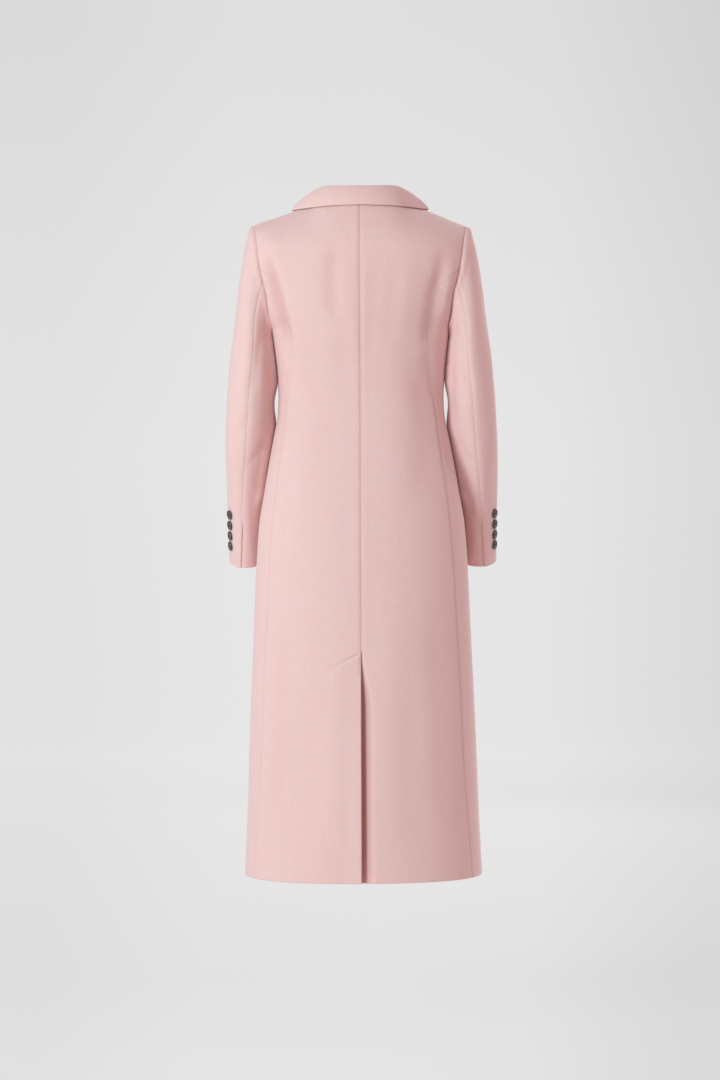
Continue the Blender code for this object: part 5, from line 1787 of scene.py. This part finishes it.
# The soft pool of light on the backdrop: half its spread, as a share of the distance from the
# camera, and the greys from one end to the other.
GLOW_ACROSS, GLOW_UP = 0.12, 0.18
ACROSS_GREYS = ((0.05, 0.88), (0.17, 0.93), (0.28, 0.98), (0.50, 1.0), (0.72, 1.0), (0.95, 0.95))
UP_GREYS = (
    (0.025, 0.705),
    (0.10, 0.682),
    (0.217, 0.705),
    (0.31, 0.750),
    (0.58, 0.755),
    (0.72, 0.740),
    (0.975, 0.695),
)
GLOW_NEAREST = 2.0  # closer to the camera than this the pool narrows no further

WALL_DISTANCE, WALL_BEND, WALL_RISE = 7.5, 1.2, 9.0
BEND_STEPS = 16
FLOOR_REACH = 9.0  # behind the camera
BACKDROP_WIDTH = 28.0
PAPER = (0.06, 0.06, 0.06, 1)
STUDIO_GREY = (0.72, 0.72, 0.72, 1)
STUDIO_LIGHT, STUDIO_STRENGTH = (1.0, 0.90, 0.90, 1), 0.56

LIGHT_AIM = (0, 0, -0.55)
LIGHTS = {  # place, width and height, power, colour
    "key": ((2.5, 3.2, 0.5), (1.2, 1.8), 125, (0.68, 1.0, 0.99)),
    "front": ((-1.2, -4.6, 0.6), (2.0, 2.4), 60, (1.0, 0.97, 0.96)),
    "rim_left": ((2.7, -0.9, 0.0), (1.0, 2.6), 5, (1.0, 1.0, 1.0)),
    "rim_right": ((-2.7, -0.9, 0.0), (1.0, 2.6), 14, (1.0, 0.90, 0.90)),
}


def paper():
    """Pale grey paper that gives off the soft pool of light itself, as the camera sees it."""
    material, tree, shader, place = fresh_material("pale grey paper")
    parts = node_of(tree, "ShaderNodeSeparateXYZ", (-1400, 0))
    tree.links.new(place, parts.inputs[0])
    away = math_node(tree, "SUBTRACT", CAMERA_DISTANCE, parts.outputs["Y"], at=(-1200, 200))
    away = math_node(tree, "MAXIMUM", away, GLOW_NEAREST, at=(-1050, 200))
    drop = NECK_HEIGHT - CAMERA_HEIGHT
    above = math_node(tree, "ADD", parts.outputs["Z"], drop, at=(-1200, -200))
    glows = []
    for spread, value, stops, low in (
        (GLOW_ACROSS, parts.outputs["X"], ACROSS_GREYS, 200),
        (GLOW_UP, above, UP_GREYS, -200),
    ):
        share = math_node(tree, "DIVIDE", value, away, at=(-900, low))
        scaled = node_of(tree, "ShaderNodeMapRange", (-740, low), From_Min=-spread, From_Max=spread)
        tree.links.new(share, scaled.inputs["Value"])
        greys = [(at, (grey, grey, grey)) for at, grey in stops]
        glows.append(ramp(tree, scaled.outputs["Result"], greys, (-560, low)))
    product = node_of(tree, "ShaderNodeVectorMath", (-260, 0), operation="MULTIPLY")
    tree.links.new(glows[0], product.inputs[0])
    tree.links.new(glows[1], product.inputs[1])
    tree.links.new(product.outputs["Vector"], shader.inputs["Emission Color"])
    set_inputs(shader, Base_Color=PAPER, Roughness=0.9)
    set_inputs(shader, Specular_IOR_Level=0.1, Emission_Strength=1.0)
    return material


def build_backdrop():
    """A pale floor that curves up into one wall, beyond the coat's front."""
    floor = -NECK_HEIGHT - FLOOR_DROP
    profile = [(FLOOR_REACH, floor)]
    for turn in np.radians(np.linspace(0, 90, BEND_STEPS + 1)):
        out, up = WALL_BEND * math.sin(turn), WALL_BEND * (1 - math.cos(turn))
        profile.append((-WALL_DISTANCE - out, floor + up))
    profile.append((-WALL_DISTANCE - WALL_BEND, floor + WALL_RISE))
    points = [(side * BACKDROP_WIDTH / 2, y, z) for side in (-1, 1) for y, z in profile]
    count = len(profile)
    faces = [(k, k + 1, count + k + 1, count + k) for k in range(count - 1)]
    mesh = bpy.data.meshes.new("backdrop")
    mesh.from_pydata(points, [], faces)
    mesh.shade_smooth()
    mesh.materials.append(paper())
    placed("backdrop", mesh)


def area_light(name, place, size, energy, colour):
    """A rectangular light that points at the coat's middle."""
    data = bpy.data.lights.new(name, "AREA")
    data.shape = "RECTANGLE"
    data.size, data.size_y = size
    data.energy = energy
    data.color = colour
    made = placed(name, data)
    made.location = place
    made.rotation_mode = "QUATERNION"
    made.rotation_quaternion = (Vector(LIGHT_AIM) - Vector(place)).to_track_quat("-Z", "Y")


def build_lights():
    """Soft lights around the coat, and a faint light from all sides."""
    for name, (place, size, energy, colour) in LIGHTS.items():
        area_light(name, place, size, energy, colour)
    world = bpy.data.worlds.new("studio")
    bpy.context.scene.world = world
    world.use_nodes = True
    tree = world.node_tree
    light = tree.nodes["Background"]
    set_inputs(light, Color=STUDIO_LIGHT, Strength=STUDIO_STRENGTH)
    # Past the backdrop, where only other views look, the studio is the same pale grey.
    seen = node_of(tree, "ShaderNodeBackground", (0, -200), Color=STUDIO_GREY)
    rays = node_of(tree, "ShaderNodeLightPath", (0, 300))
    either = node_of(tree, "ShaderNodeMixShader", (240, 100))
    tree.links.new(rays.outputs["Is Camera Ray"], either.inputs["Fac"])
    tree.links.new(light.outputs[0], either.inputs[1])
    tree.links.new(seen.outputs[0], either.inputs[2])
    tree.links.new(either.outputs[0], tree.nodes["World Output"].inputs["Surface"])


def build_camera():
    """The photograph's view, from behind."""
    data = bpy.data.cameras.new("camera")
    data.sensor_fit = "AUTO"
    data.sensor_width = CAMERA_SENSOR
    data.lens = CAMERA_LENS
    made = placed("camera", data)
    turn = math.radians(180 + CAMERA_TURN)
    back = Vector((math.sin(turn), -math.cos(turn), 0))
    made.location = back * CAMERA_DISTANCE + Vector((CAMERA_SIDE, 0, CAMERA_HEIGHT - NECK_HEIGHT))
    made.rotation_mode = "QUATERNION"
    level = (-back).to_track_quat("-Z", "Y")
    roll = Matrix.Rotation(math.radians(CAMERA_ROLL), 3, "Z")
    made.rotation_quaternion = level @ roll.to_quaternion()
    bpy.context.scene.camera = made
    bpy.context.scene.view_settings.view_transform = "Standard"


# ---------------------------------------------------------------- the whole


for side_sign in (1, -1):
    build_back(side_sign)
    build_side(side_sign)
    build_front(side_sign)
    build_sleeve(side_sign, "top")
    build_sleeve(side_sign, "under")
    build_lapel(side_sign)
build_collar()
build_buttons()
build_buttonholes()
build_vent_stitches()
build_backdrop()
build_lights()
build_camera()

bpy.context.view_layer.update()
